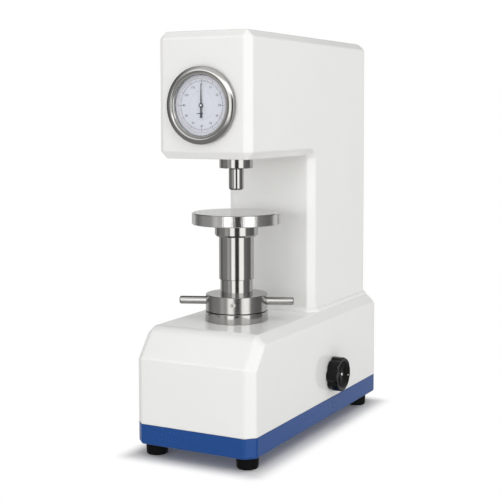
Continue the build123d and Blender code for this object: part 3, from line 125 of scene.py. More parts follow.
def graded(tree: bpy.types.NodeTree, value: Socket, reach: Pair, levels: Pair = (0.0, 1.0),
           curve: str = "LINEAR") -> Socket:
    """Go from one level to another while a value crosses its reach.

    Args:
        tree: The tree that takes the node.
        value: The value that decides.
        reach: Where the change starts and ends.
        levels: The levels before and after it.
        curve: How it runs between them.

    Returns:
        The level's socket.
    """
    return add_node(tree, "ShaderNodeMapRange",
                    {"Value": value, "From Min": reach[0], "From Max": reach[1],
                     "To Min": levels[0], "To Max": levels[1]}, interpolation_type=curve).outputs["Result"]


def blended(tree: bpy.types.NodeTree, share: Socket, first: Any, second: Any) -> Socket:
    """Mix two colours.

    Args:
        tree: The tree that takes the node.
        share: How much of the second colour shows.
        first: A colour or its socket.
        second: A colour or its socket.

    Returns:
        The mixed colour's socket.
    """
    inputs = {"Factor": share, COLOUR_A: first, COLOUR_B: second}
    return add_node(tree, "ShaderNodeMix", inputs, data_type="RGBA").outputs[MIXED_COLOUR]


# ---------------------------------------------------------------------------------------------
# Finishes
# ---------------------------------------------------------------------------------------------
class Grain(Enum):
    """How a surface was made, which gives its marks their direction."""

    SPRAYED = "sprayed"      # the slow waves of sprayed enamel
    CAST = "cast"            # coarse and fine lumps
    TURNED = "turned"        # rings about an axis
    GROUND = "ground"        # scratches along an axis
    MOULDED = "moulded"      # fine even spark texture


@dataclass(frozen=True)
class Finish:
    """One real surface: its material, its colours and the marks of its making.

    Attributes:
        name: Common name of the material and how its surface was made.
        colour: Main colour, sRGB hex.
        shade: Second colour of its slow variation, sRGB hex.
        grain: How the surface was made.
        grain_mm: Spacing of its marks.
        depth_mm: Depth of its marks.
        roughness: Lowest and highest roughness.
        metallic: One for bare metal.
        ior: Refractive index of a finish that isn't metal.
        anisotropy: How far highlights stretch across the marks.
        axis: Direction of the marks' axis.
        centre: A point on that axis, in metres.
    """

    name: str
    colour: str
    shade: str
    grain: Grain
    grain_mm: float
    depth_mm: float
    roughness: Pair
    metallic: float = 0.0
    ior: float = 1.5
    anisotropy: float = 0.0
    axis: Triple = (0.0, 0.0, 1.0)
    centre: Triple = (0.0, 0.0, 0.0)

    SCRATCH_WIDTH: ClassVar[float] = 0.03       # width of a ground mark as a share of its length
    CLOUDS_PER_METRE: ClassVar[float] = 14.0    # scale of the slow variation in colour and gloss
    NOISE_REACH: ClassVar[Pair] = (0.1, 0.45)   # lowest and highest product of the two noises

    def about(self, name: str, axis: Triple, centre: Triple) -> "Finish":
        """The same finish with its marks about another axis."""
        return replace(self, name=name, axis=axis, centre=centre)

    def marks(self, tree: bpy.types.NodeTree) -> Socket:
        """Coordinates in which a plain noise draws this surface's marks.

        Args:
            tree: The material's tree.

        Returns:
            A vector socket, in metres.
        """
        place = add_node(tree, "ShaderNodeTexCoord").outputs["Object"]
        offset = [-c for c in self.centre]
        centred = add_node(tree, "ShaderNodeMapping", {"Vector": place, "Location": offset}).outputs[0]
        across = [1.0 - abs(a) for a in self.axis]
        if self.grain is Grain.TURNED:
            flat = add_node(tree, "ShaderNodeVectorMath", {0: centred, 1: across}, operation="MULTIPLY")
            radius = add_node(tree, "ShaderNodeVectorMath", {0: flat.outputs[0]}, operation="LENGTH")
            along = add_node(tree, "ShaderNodeVectorMath", {0: centred, 1: self.axis},
                             operation="DOT_PRODUCT")
            return add_node(tree, "ShaderNodeCombineXYZ",
                            {"X": radius.outputs["Value"], "Z": along.outputs["Value"]}).outputs[0]
        if self.grain is Grain.GROUND:
            stretch = [c + self.SCRATCH_WIDTH * abs(a) for c, a in zip(across, self.axis)]
            return add_node(tree, "ShaderNodeVectorMath", {0: centred, 1: stretch},
                            operation="MULTIPLY").outputs[0]
        return centred

    def material(self) -> bpy.types.Material:
        """Build the material, or give back the one that was built.

        Returns:
            The material, named for this finish.
        """
        made = bpy.data.materials.get(self.name)
        if made:
            return made
        made = bpy.data.materials.new(self.name)
        made.use_nodes = True
        tree = made.node_tree
        shader = tree.nodes["Principled BSDF"]
        marks = self.marks(tree)
        place = add_node(tree, "ShaderNodeTexCoord").outputs["Object"]
        fine = add_node(tree, "ShaderNodeTexNoise",
                        {"Vector": marks, "Scale": 1 / (self.grain_mm * MM), "Detail": 2.0})
        slow = add_node(tree, "ShaderNodeTexNoise",
                        {"Vector": place, "Scale": self.CLOUDS_PER_METRE, "Detail": 3.0})
        both = calculate(tree, "MULTIPLY", fine.outputs["Fac"], slow.outputs["Fac"])
        tone = blended(tree, slow.outputs["Fac"], linear(self.colour), linear(self.shade))
        gloss = graded(tree, both, self.NOISE_REACH, self.roughness)
        bump = add_node(tree, "ShaderNodeBump",
                        {"Height": fine.outputs["Fac"], "Distance": self.depth_mm * MM, "Strength": 1.0})
        tree.links.new(tone, shader.inputs["Base Color"])
        tree.links.new(gloss, shader.inputs["Roughness"])
        tree.links.new(bump.outputs["Normal"], shader.inputs["Normal"])
        shader.inputs["Metallic"].default_value = self.metallic
        if not self.metallic:
            shader.inputs["IOR"].default_value = self.ior
        shader.inputs["Anisotropic"].default_value = self.anisotropy
        return made


@dataclass(frozen=True)
class Glass:
    """Clear mineral glass, ground flat and polished.

    Attributes:
        name: Common name of the material and how its surface was made.
        colour: Its tint, sRGB hex.
        ior: Refractive index.
        waves_per_metre: Scale of the faint waves in its polish.
        depth_mm: Depth of those waves.
    """

    name: str = "polished_mineral_glass"
    colour: str = "FBFDFF"
    ior: float = 1.35
    waves_per_metre: float = 40.0
    depth_mm: float = 0.01

    def material(self) -> bpy.types.Material:
        """Build the material, or give back the one that was built.

        Returns:
            A clear material with a faint wave in its polish.
        """
        made = bpy.data.materials.get(self.name)
        if made:
            return made
        made = bpy.data.materials.new(self.name)
        made.use_nodes = True
        tree = made.node_tree
        shader = tree.nodes["Principled BSDF"]
        place = add_node(tree, "ShaderNodeTexCoord").outputs["Object"]
        wave = add_node(tree, "ShaderNodeTexNoise", {"Vector": place, "Scale": self.waves_per_metre})
        bump = add_node(tree, "ShaderNodeBump",
                        {"Height": wave.outputs["Fac"], "Distance": self.depth_mm * MM})
        tree.links.new(bump.outputs["Normal"], shader.inputs["Normal"])
        shader.inputs["Base Color"].default_value = linear(self.colour)
        shader.inputs["Transmission Weight"].default_value = 1.0
        shader.inputs["Roughness"].default_value = 0.0
        shader.inputs["IOR"].default_value = self.ior
        return made


Surface = Finish | Glass

# Two-pack enamel sprayed over filled cast iron: deep gloss with faint slow waves.
WHITE_ENAMEL = Finish("white_enamel_sprayed", "F8F8F6", "F5F5F3", Grain.SPRAYED, 3.0, 0.003,
                      (0.07, 0.11))
# A mid blue enamel on the pan, sprayed duller: soft highlights.
BLUE_ENAMEL = Finish("blue_enamel_sprayed", "0E4A93", "11488D", Grain.SPRAYED, 3.0, 0.003,
                     (0.26, 0.34), ior=1.4)
# Grey enamel brushed over the inner drives as cast: dull and lumpy.
GREY_ENAMEL = Finish("grey_enamel_brushed", "6E7274", "5E6264", Grain.CAST, 3.0, 0.05, (0.35, 0.5))
# Chromed steel, turned and then polished: fine rings about the test axis, sharp highlights.
POLISHED_STEEL = Finish("polished_steel_turned", "C8C7C5", "BFBEBC", Grain.TURNED, 0.25, 0.002,
                        (0.09, 0.16), metallic=1.0, anisotropy=0.3)
# The anvil's steel, lapped by hand: the same grey, with reflections that waver from facet to facet.
LAPPED_STEEL = Finish("polished_steel_lapped", "C8C7C5", "BFBEBC", Grain.GROUND, 1.4, 0.15,
                      (0.09, 0.16), metallic=1.0)
# The same steel with a darker hard chrome on what rubs or is touched: sleeves, bush, spindle, bezel.
HARD_CHROME = Finish("hard_chromed_steel", "A9A8A5", "A09F9C", Grain.TURNED, 0.25, 0.002,
                     (0.08, 0.14), metallic=1.0, anisotropy=0.3)
# Brushed after chroming on the capstan and its rods, for grip: the same grey with blurred highlights.
SATIN_CHROME = Finish("satin_chromed_steel", "A9A8A5", "A09F9C", Grain.TURNED, 0.3, 0.003,
                      (0.15, 0.22), metallic=1.0, anisotropy=0.3)
# Ground tool steel: a dull sheen with rings that show.
GROUND_STEEL = Finish("tool_steel_ground", "B4B2AD", "A9A7A2", Grain.TURNED, 0.4, 0.004,
                      (0.2, 0.32), metallic=1.0, anisotropy=0.4)
# Bright zinc plate on screws: pale, slightly blue and a little cloudy.
ZINC_PLATE = Finish("zinc_plated_steel", "B5B9BF", "A5A9B0", Grain.MOULDED, 0.6, 0.004,
                    (0.22, 0.4), metallic=1.0)
# Grey iron as cast, with a thin oil film: dark with lumps of the sand mould.
CAST_IRON = Finish("grey_iron_cast", "55565A", "45464A", Grain.CAST, 1.6, 0.06, (0.45, 0.65), metallic=1.0)
# Turned brass: warm, with fine rings.
BRASS = Finish("brass_turned", "C9A35A", "B8924B", Grain.TURNED, 0.3, 0.003, (0.18, 0.3), metallic=1.0)
# Moulded nitrile rubber: black and dull, with a fine spark texture from its mould.
RUBBER = Finish("black_rubber_moulded", "050506", "08080A", Grain.MOULDED, 0.5, 0.01, (0.55, 0.7), ior=1.2)
# Moulded phenolic: black with a hard gloss.
PHENOLIC = Finish("black_phenolic_moulded", "050506", "08080A", Grain.MOULDED, 1.2, 0.003,
                  (0.16, 0.24), ior=1.3)
# Near-black with a soft sheen on the dial case; its flange draws the thin dark line round the bezel's outer
# edge.
DARK_CASE_FINISH = Finish("dark_case_sheen", "1B1C1E", "232427", Grain.SPRAYED, 1.5, 0.006, (0.3, 0.42))
# Silk-matt dial enamel: pale and faintly blue, with no highlight.
DIAL_ENAMEL = Finish("dial_enamel_silk", "FAFAFF", "F6F6FC", Grain.SPRAYED, 0.8, 0.002, (0.45, 0.55))
# Blued spring steel of the pointers: a dark blue with a narrow sheen.
BLUED_STEEL = Finish("spring_steel_blued", "2A3144", "232A3B", Grain.GROUND, 0.3, 0.001,
                     (0.25, 0.35), metallic=0.6)
# Glass-fibre board under green lacquer: dark green and slightly glossy.
CIRCUIT_BOARD = Finish("glass_fibre_board", "1E5A3A", "1A4E33", Grain.MOULDED, 0.7, 0.01, (0.3, 0.45))
# Screen-printed inks on the dial: thin and matt.
BLACK_INK = Finish("black_ink_printed", "3B414E", "444A57", Grain.MOULDED, 0.3, 0.001, (0.5, 0.6))
RED_INK = Finish("red_ink_printed", "B86C78", "AE636F", Grain.MOULDED, 0.3, 0.001, (0.5, 0.6))
# Paint wiped into the knob's index mark: dull white.
WHITE_FILL = Finish("white_filler_paint", "E8E8E4", "DDDDD8", Grain.MOULDED, 0.4, 0.002, (0.3, 0.4))


def dress(finish: Surface, *nodes: str) -> None:
    """Give CAD nodes their material.

    Args:
        finish: The finish to apply.
        *nodes: Names of the nodes.
    """
    for name in nodes:
        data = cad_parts[name].data
        data.materials.clear()
        data.materials.append(finish.material())
        log.info("dressed %s in %s", name, finish.name)


def new_piece(name: str, mesh: bpy.types.Mesh, finish: Surface, body: str) -> bpy.types.Object:
    """Put a finished mesh into the scene as a piece of the machine.

    Args:
        name: Name of the piece.
        mesh: Its mesh, in place in the shared frame.
        finish: Its finish.
        body: The CAD body that it rides on.

    Returns:
        The new object.
    """
    mesh.materials.clear()
    mesh.materials.append(finish.material())
    made = bpy.data.objects.new(name, mesh)
    bpy.context.scene.collection.objects.link(made)
    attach(made, body)
    log.info("made %s: %d faces on %s", name, len(mesh.polygons), body)
    return made


# ---------------------------------------------------------------------------------------------
# Meshes
# ---------------------------------------------------------------------------------------------
SAME_POINT = 1e-7               # points closer than this, in metres, are one
SHARP_CORNER = radians(32)      # a turned edge that bends by more stays sharp
FONT_TO_FIGURE = 1.38           # font size of a figure that is one unit high
PRINT_THICKNESS = 0.04 * MM     # of ink above the dial, and as much below its face


class RingOfBars:
    """Geometry Nodes tree that sets small bars radially round a circle in the XZ plane.

    It draws graduations on a dial and ribs on a knob's face.

    Attributes:
        name: Name of the tree.
        numbers: Its inputs that are lengths, and the tilt of a bar out of the circle's plane.
        vectors: Its inputs that place the whole circle.
    """

    name = "ring_of_bars"
    numbers = ("Radius", "Length", "Width", "Depth", "Tilt")
    vectors = ("Centre", "Turn")

    def __init__(self) -> None:
        """Build the tree with its named inputs."""
        tree = bpy.data.node_groups.new(self.name, "GeometryNodeTree")
        face = tree.interface
        face.new_socket("Count", in_out="INPUT", socket_type="NodeSocketInt")
        for name in self.numbers:
            face.new_socket(name, in_out="INPUT", socket_type="NodeSocketFloat")
        for name in self.vectors:
            face.new_socket(name, in_out="INPUT", socket_type="NodeSocketVector")
        face.new_socket("Geometry", in_out="OUTPUT", socket_type="NodeSocketGeometry")
        given = tree.nodes.new("NodeGroupInput").outputs
        points = add_node(tree, "GeometryNodePoints", {"Count": given["Count"]})
        index = add_node(tree, "GeometryNodeInputIndex").outputs[0]
        turned = calculate(tree, "MULTIPLY", index, calculate(tree, "DIVIDE", tau, given["Count"]))
        turn = add_node(tree, "ShaderNodeCombineXYZ", {"Y": turned}).outputs[0]
        size = add_node(tree, "ShaderNodeCombineXYZ",
                        {"X": given["Width"], "Y": given["Depth"], "Z": given["Length"]}).outputs[0]
        bar = add_node(tree, "GeometryNodeMeshCube", {"Size": size})
        lift = add_node(tree, "ShaderNodeCombineXYZ", {"Z": given["Radius"]}).outputs[0]
        tilt = add_node(tree, "ShaderNodeCombineXYZ", {"X": given["Tilt"]}).outputs[0]
        raised = add_node(tree, "GeometryNodeTransform",
                          {"Geometry": bar.outputs["Mesh"], "Translation": lift, "Rotation": tilt})
        placed = add_node(tree, "GeometryNodeInstanceOnPoints",
                          {"Points": points.outputs[0], "Instance": raised.outputs[0], "Rotation": turn})
        whole = add_node(tree, "GeometryNodeTransform",
                         {"Geometry": placed.outputs[0], "Translation": given["Centre"],
                          "Rotation": given["Turn"]})
        real = add_node(tree, "GeometryNodeRealizeInstances", {"Geometry": whole.outputs[0]})
        add_node(tree, "NodeGroupOutput", {"Geometry": real.outputs[0]})
        self.tree = tree

    def mesh(self, **inputs: Any) -> bpy.types.Mesh:
        """Run the tree once and return its result as a plain mesh.

        Args:
            **inputs: Values for the tree's named inputs.  One that is left out is zero.

        Returns:
            The mesh, without a material.
        """
        carrier = bpy.data.objects.new("bars", bpy.data.meshes.new("bars"))
        bpy.context.scene.collection.objects.link(carrier)
        modifier = carrier.modifiers.new("bars", "NODES")
        modifier.node_group = self.tree
        keys = {item.name: item.identifier for item in self.tree.interface.items_tree
                if item.in_out == "INPUT"}
        for name, value in inputs.items():
            modifier[keys[name]] = value
        graph = bpy.context.evaluated_depsgraph_get()
        mesh = bpy.data.meshes.new_from_object(carrier.evaluated_get(graph), depsgraph=graph)
        bpy.data.objects.remove(carrier)
        return mesh


def joined(name: str, meshes: Sequence[bpy.types.Mesh]) -> bpy.types.Mesh:
    """Put several meshes of one piece into one.

    Args:
        name: Name of the result.
        meshes: The meshes to join.

    Returns:
        The joined mesh.
    """
    work = bmesh.new()
    for mesh in meshes:
        work.from_mesh(mesh)
    made = bpy.data.meshes.new(name)
    work.to_mesh(made)
    work.free()
    return made


def turned_ring(name: str, outline: Sequence[Pair], centre: Triple, axis: str,
                steps: int) -> bpy.types.Mesh:
    """A closed ring turned from an outline of (radius, distance along the axis) points.

    Args:
        name: Name of the mesh.
        outline: The closed outline, in metres.
        centre: Origin of the distances along the axis.
        axis: "X" or "Y".
        steps: Faces round the ring.

    Returns:
        The mesh, smooth apart from its sharp corners.
    """
    work = bmesh.new()
    rows = []
    for k in range(steps):
        turn = tau * k / steps
        row = []
        for radius, along in outline:
            local = {"X": (along, radius * cos(turn), radius * sin(turn)),
                     "Y": (radius * cos(turn), along, radius * sin(turn))}[axis]
            row.append(work.verts.new(Vector(centre) + Vector(local)))
        rows.append(row)
    for k, row in enumerate(rows):
        after = rows[(k + 1) % steps]
        for j in range(len(row)):
            i = (j + 1) % len(row)
            work.faces.new((row[j], row[i], after[i], after[j]))
    bmesh.ops.remove_doubles(work, verts=work.verts, dist=SAME_POINT)
    bmesh.ops.recalc_face_normals(work, faces=work.faces)
    made = bpy.data.meshes.new(name)
    work.to_mesh(made)
    work.free()
    made.shade_smooth()
    made.set_sharp_from_angle(angle=SHARP_CORNER)
    return made


def printed_text(words: str, height: float, place: Vector, turn: Matrix) -> bpy.types.Mesh:
    """A short printed number, centred on its place.

    Args:
        words: What it says.
        height: Height of its figures.
        place: Its centre.
        turn: Rotation from the XY plane, which it is written in.

    Returns:
        A thin mesh in place.
    """
    curve = bpy.data.curves.new("figure", "FONT")
    curve.body = words
    curve.size = height * FONT_TO_FIGURE
    curve.align_x = "CENTER"
    curve.align_y = "CENTER"
    curve.extrude = PRINT_THICKNESS
    curve.resolution_u = 3
    writer = bpy.data.objects.new("figure", curve)
    bpy.context.scene.collection.objects.link(writer)
    graph = bpy.context.evaluated_depsgraph_get()
    mesh = bpy.data.meshes.new_from_object(writer.evaluated_get(graph), depsgraph=graph)
    bpy.data.objects.remove(writer)
    mesh.transform(Matrix.Translation(place) @ turn)
    return mesh


# ---------------------------------------------------------------------------------------------
# The machine
# ---------------------------------------------------------------------------------------------
class Housing:
    """Base, pan, column with its head, covers and feet."""

    def build(self) -> None:
        """Dress the castings, the pan and what is fastened to them."""
        dress(WHITE_ENAMEL, "base_casting", "column_casting", "top_cover", "back_cover")
        dress(BLUE_ENAMEL, "base_pan")
        dress(RUBBER, "rubber_feet")
        dress(ZINC_PLATE, "m8_bolts", "cover_screws", "guide_bolts", "bush_screws", "penetrator_screw")
        dress(PHENOLIC, "power_inlet", "switch_frame", "switch_rocker")


@dataclass
class TestAxis:
    """Everything turned about the test axis: guide, capstan, sleeves, anvil, bush and spindle.

    Attributes:
        rod_bearing: Direction of the capstan's rods, in degrees from +X towards +Y.
        rod_height: Height of their axis.
    """

    rod_bearing: float = 22.6
    rod_height: float = 246.0 * MM

    def build(self) -> None:
        """Dress the turned pieces and the rods."""
        dress(POLISHED_STEEL, "elevating_screw")
        dress(LAPPED_STEEL, "anvil")
        dress(HARD_CHROME, "screw_guide", "lower_sleeve", "upper_sleeve", "anvil_collar", "spindle_bush",
              "main_spindle")
        dress(SATIN_CHROME, "capstan")
        turn = radians(self.rod_bearing)
        rods = SATIN_CHROME.about("satin_chromed_rods", (cos(turn), sin(turn), 0.0),
                                  (0.0, 0.0, self.rod_height))
        dress(rods, "turning_rods")
        dress(GROUND_STEEL, "capstan_plugs", "guide_key", "thrust_bearing", "thrust_race_upper",
              "spindle_seat", "lift_pin", "penetrator")


class LoadTrain:
    """Lever, weights, dashpot, cam and the force selector inside the housing."""

    def build(self) -> None:
        """Dress the inner pieces."""
        dress(CAST_IRON, "main_lever", "weight_1", "weight_2", "weight_3", "lever_poise", "fulcrum_bracket",
              "selector_bearing", "weight_carrier")
        dress(GROUND_STEEL, "fulcrum_bearings", "lever_knives", "weight_hanger", "load_cam",
              "selector_shaft", "carrier_posts", "measuring_lever", "measuring_pivot", "dial_plunger")
        dress(GREY_ENAMEL, "dashpot", "load_motor")
        dress(BRASS, "selector_bush")
        dress(CIRCUIT_BOARD, "control_board")


@dataclass
class SelectorKnob:
    """Force selector knob: ribs down its dished face, a bright cap and a filled index mark.

    Attributes:
        bars: The tree that draws the ribs.
        rib_count: Ribs round the dish.
        rib_inner: Radius where the ribs end at the cap.
        rib_outer: Radius where they start at the rim.
        rib_width: Width of a rib.
        rib_depth: Its depth, half of it above the dish.
        rim_radius: Radius of the dish's rim.
        floor_radius: Radius of the dish's flat floor.
        dish_depth: Depth of the dish.
        cap_radius: Radius of the bright cap.
        index_radius: Radius of the filled index mark.
        index_place: The index mark from the knob's middle, along Y and Z.
    """

    bars: RingOfBars
    rib_count: int = 40
    rib_inner: float = 5.5 * MM
    rib_outer: float = 24.0 * MM
    rib_width: float = 0.7 * MM
    rib_depth: float = 1.0 * MM
    rim_radius: float = 26.84 * MM
    floor_radius: float = 4.0 * MM
    dish_depth: float = 5.0 * MM
    cap_radius: float = 3.4 * MM
    index_radius: float = 1.3 * MM
    index_place: Pair = (21.8 * MM, -5.4 * MM)

    def build(self) -> None:
        """Dress the knob and make the pieces on its face."""
        dress(PHENOLIC, "selector_knob")
        low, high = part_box("selector_knob")
        self.centre = (low + high) / 2
        self.front = high.x
        self.slope = self.dish_depth / (self.rim_radius - self.floor_radius)
        self.add_ribs()
        self.add_cap()
        self.add_index()

    def add_ribs(self) -> None:
        """Ribs down the dish, from its rim to the cap."""
        middle = (self.rib_inner + self.rib_outer) / 2
        depth = (self.rim_radius - middle) * self.slope
        length = (self.rib_outer - self.rib_inner) * (1 + self.slope ** 2) ** 0.5
        ribs = self.bars.mesh(Count=self.rib_count, Radius=middle, Length=length, Width=self.rib_width,
                              Depth=self.rib_depth, Tilt=atan(self.slope), Turn=(0.0, 0.0, radians(90)),
                              Centre=(self.front - depth, self.centre.y, self.centre.z))
        new_piece("knob_ribs", ribs, PHENOLIC, "selector")

    def add_cap(self) -> None:
        """Bright cap over the screw in the dish's floor."""
        edge = self.cap_radius
        cap = [(0.0, -0.2 * MM), (edge, -0.2 * MM), (edge, 1.6 * MM), (edge - 0.6 * MM, 2.2 * MM),
               (0.0, 2.6 * MM)]
        place = (self.front - self.dish_depth, self.centre.y, self.centre.z)
        finish = POLISHED_STEEL.about("polished_steel_cap", (1.0, 0.0, 0.0), place)
        new_piece("knob_cap", turned_ring("knob_cap", cap, place, "X", 48), finish, "selector")

    def add_index(self) -> None:
        """Filled index mark, sunk to the dish's slope."""
        across, up = self.index_place
        sunk = (self.rim_radius - (across ** 2 + up ** 2) ** 0.5) * self.slope
        edge = self.index_radius
        mark = [(0.0, -1.2 * MM), (edge, -1.2 * MM), (edge, 0.5 * MM), (0.0, 0.7 * MM)]
        place = (self.front - sunk, self.centre.y + across, self.centre.z + up)
        new_piece("knob_index", turned_ring("knob_index", mark, place, "X", 24), WHITE_FILL, "selector")


@dataclass
class Dial:
    """Dial with its bezel, glass, printed scale, figures and pointers.

    Attributes:
        bars: The tree that draws the graduations.
        figures: Numbered divisions round the scale.
        figure_step: What one of them is worth.
        figure_radius: Distance of the figures from the middle.
        figure_height: Height of the figures.
        ring_radius: Radius of the printed black ring.
        ring_width: Width of its line.
        black_lines: Sets of black graduations: their number, then in millimetres where they start
            and end, out from the black ring, and their width.
        red_ring_gap: How far the red ring lies outside the black one.
        red_ring_width: Width of its line.
        red_lines: The red graduations, given as the black ones are.
        line_depth: Thickness of a printed line, half of it in the face.
        small_drop: How far the small scale's middle lies below the dial's.
        small_radius: Radius of the small scale.
        bezel_rim: Width of the bezel's front.
        bezel_groove: Width of the flat inside its crest.
        bezel_crest: The crest between groove and cone, in millimetres out from the groove and back
            from the bezel's front.
        bezel_cone: How far its cone falls back at the outside.
        spigot_lip: Wall of its spigot round the glass.
        glass_gap: Gap round the glass.
        case_gap: Gap between the bezel and the case behind it.
    """

    bars: RingOfBars
    figures: int = 12
    figure_step: int = 10
    figure_radius: float = 33.0 * MM
    figure_height: float = 3.8 * MM
    ring_radius: float = 39.0 * MM
    ring_width: float = 0.35 * MM
    black_lines: tuple[Lines, ...] = ((120, 0.0, 2.0, 0.22), (24, 0.0, 3.0, 0.3), (12, -1.0, 4.0, 0.45),
                                      (4, -5.0, 4.0, 0.6))
    red_ring_gap: float = 4.4 * MM
    red_ring_width: float = 0.25 * MM
    red_lines: tuple[Lines, ...] = ((120, 4.6, 6.0, 0.2),)
    line_depth: float = 0.08 * MM
    small_drop: float = 13.0 * MM
    small_radius: float = 8.0 * MM
    bezel_rim: float = 14.2 * MM
    bezel_groove: float = 4.0 * MM
    bezel_crest: tuple[Pair, ...] = ((0.0, 1.5), (0.7, 0.75), (1.5, 0.25), (2.4, 0.0), (3.3, 0.1),
                                     (4.2, 0.4))
    bezel_cone: float = 2.3 * MM
    spigot_lip: float = 1.4 * MM
    glass_gap: float = 0.05 * MM
    case_gap: float = 0.3 * MM

    def build(self) -> None:
        """Dress the dial's nodes and print its scale."""
        low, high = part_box("dial_face")
        self.centre = (low + high) / 2
        self.front = low.y
        middle = tuple(self.centre)
        self.make_bezel(HARD_CHROME.about("hard_chromed_bezel", (0.0, 1.0, 0.0), middle))
        dress(DARK_CASE_FINISH, "dial_case")
        dress(DIAL_ENAMEL, "dial_face", "dial_centre")
        dress(BLUED_STEEL, "main_pointer", "small_pointer")
        dress(Glass(), "crystal")
        self.print_scale()
        self.print_figures()
        self.print_small_scale()
        self.add_hub_cap()

    def make_bezel(self, finish: Finish) -> None:
        """Turn the bezel: its spigot, its lip over the glass, a groove, a crest and a polished cone.

        Args:
            finish: Its chrome.
        """
        low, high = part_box("bezel")
        front, ledge = low.y, high.y
        glass_low, glass_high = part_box("crystal")
        outer = (high.x - low.x) / 2
        opening = outer - self.bezel_rim
        groove = opening + self.bezel_groove
        glass = (glass_high.x - glass_low.x) / 2 + self.glass_gap
        spigot = glass + self.spigot_lip
        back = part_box("dial_case")[0].y - self.case_gap
        skirt = front + self.bezel_cone
        seat = [(outer, back), (spigot, back), (spigot, ledge), (glass, ledge), (glass, glass_low.y)]
        lip = [(opening, glass_low.y), (opening, front + 1.8 * MM), (opening + 0.8 * MM, front + 1.0 * MM),
               (groove - 0.8 * MM, front + 1.0 * MM), (groove - 0.4 * MM, front + 1.5 * MM)]
        crest = [(groove + out * MM, front + behind * MM) for out, behind in self.bezel_crest]
        edge = [(outer - 0.8 * MM, skirt), (outer - 0.2 * MM, skirt + 0.5 * MM), (outer, skirt + 1.1 * MM)]
        mesh = turned_ring("bezel_ring", seat + lip + crest + edge, (0.0, 0.0, self.centre.z), "Y", 192)
        ring = new_piece("bezel_ring", mesh, finish, "bezel")
        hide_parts("bezel")

    def graduations(self, sets: Sequence[Lines]) -> list[bpy.types.Mesh]:
        """Radial lines round the dial.

        Args:
            sets: Number, start, end and width of each set's lines.

        Returns:
            A mesh for each set.
        """
        meshes = []
        for count, start, end, width in sets:
            inner, outer = self.ring_radius + start * MM, self.ring_radius + end * MM
            meshes.append(self.bars.mesh(Count=count, Radius=(inner + outer) / 2, Length=outer - inner,
                                         Width=width * MM, Depth=self.line_depth,
                                         Centre=(self.centre.x, self.front, self.centre.z)))
        return meshes

    def printed_ring(self, radius: float, width: float) -> bpy.types.Mesh:
        """A thin printed circle on the dial's face."""
        inner, outer = radius - width / 2, radius + width / 2
        outline = [(inner, -PRINT_THICKNESS), (outer, -PRINT_THICKNESS), (outer, PRINT_THICKNESS),
                   (inner, PRINT_THICKNESS)]
        return turned_ring("ring", outline, (self.centre.x, self.front, self.centre.z), "Y", 128)

    def print_scale(self) -> None:
        """Print the black scale, its ring and the red scale outside it."""
        black = self.graduations(self.black_lines) + [self.printed_ring(self.ring_radius, self.ring_width)]
        new_piece("dial_scale_black", joined("dial_scale_black", black), BLACK_INK, "bezel")
        red_ring = self.printed_ring(self.ring_radius + self.red_ring_gap, self.red_ring_width)
        red = self.graduations(self.red_lines) + [red_ring]
        new_piece("dial_scale_red", joined("dial_scale_red", red), RED_INK, "bezel")

    def print_figures(self) -> None:
        """Print the upright figures of the scale."""
        upright = Matrix.Rotation(radians(90), 4, "X")
        meshes = []
        for k in range(self.figures):
            turn = tau * k / self.figures
            place = Vector((self.centre.x + self.figure_radius * sin(turn), self.front,
                            self.centre.z + self.figure_radius * cos(turn)))
            meshes.append(printed_text(str(self.figure_step * k), self.figure_height, place, upright))
        new_piece("dial_figures", joined("dial_figures", meshes), BLACK_INK, "bezel")

    def print_small_scale(self) -> None:
        """Print the small scale of the preliminary load on the fixed middle of the dial."""
        centre = (0.0, self.front, self.centre.z - self.small_drop)
        lines = self.bars.mesh(Count=8, Radius=self.small_radius, Length=1.4 * MM, Width=0.3 * MM,
                               Depth=self.line_depth, Centre=centre)
        new_piece("small_scale", lines, BLACK_INK, "frame")

    def add_hub_cap(self) -> None:
        """Bright cap on the main pointer's hub."""
        hub_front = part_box("main_pointer")[0].y
        cap = [(0.0, 0.0), (2.2 * MM, 0.0), (2.0 * MM, -0.35 * MM), (1.2 * MM, -0.6 * MM), (0.0, -0.7 * MM)]
        mesh = turned_ring("hub_cap", cap, (self.centre.x, hub_front, self.centre.z), "Y", 48)
        finish = POLISHED_STEEL.about("polished_steel_hub", (0.0, 1.0, 0.0), tuple(self.centre))
        new_piece("hub_cap", mesh, finish, "main_pointer")


# ---------------------------------------------------------------------------------------------
# Studio
# ---------------------------------------------------------------------------------------------
# Brightness of what polished surfaces see round the horizon: bearing in degrees from the front
# towards the right, and level.
HORIZON = (
    (-180, 0.1), (-140, 0.1),                               # dark behind the machine
    (-132, 0.35), (-104, 0.35),                             # pale board at the left, behind
    (-96, 0.12), (-80, 0.12), (-70, 0.2), (-36, 0.22),      # dim left
    (-31, 0.4), (-18, 0.4), (-14, 0.26), (-6, 0.3),         # pale board at the left of the front
    (-2, 1.15), (17, 1.15),                                 # strip lamp in front
    (22, 0.05), (44, 0.04),                                 # black board between the lamps
    (50, 1.15), (76, 1.15),                                 # strip lamp at the right of the front
    (81, 0.18), (110, 0.12), (134, 0.1),                    # dim right
    (144, 0.45), (162, 0.45),                               # pale board at the right, behind
    (170, 0.12), (180, 0.1))                                # dark behind the machine


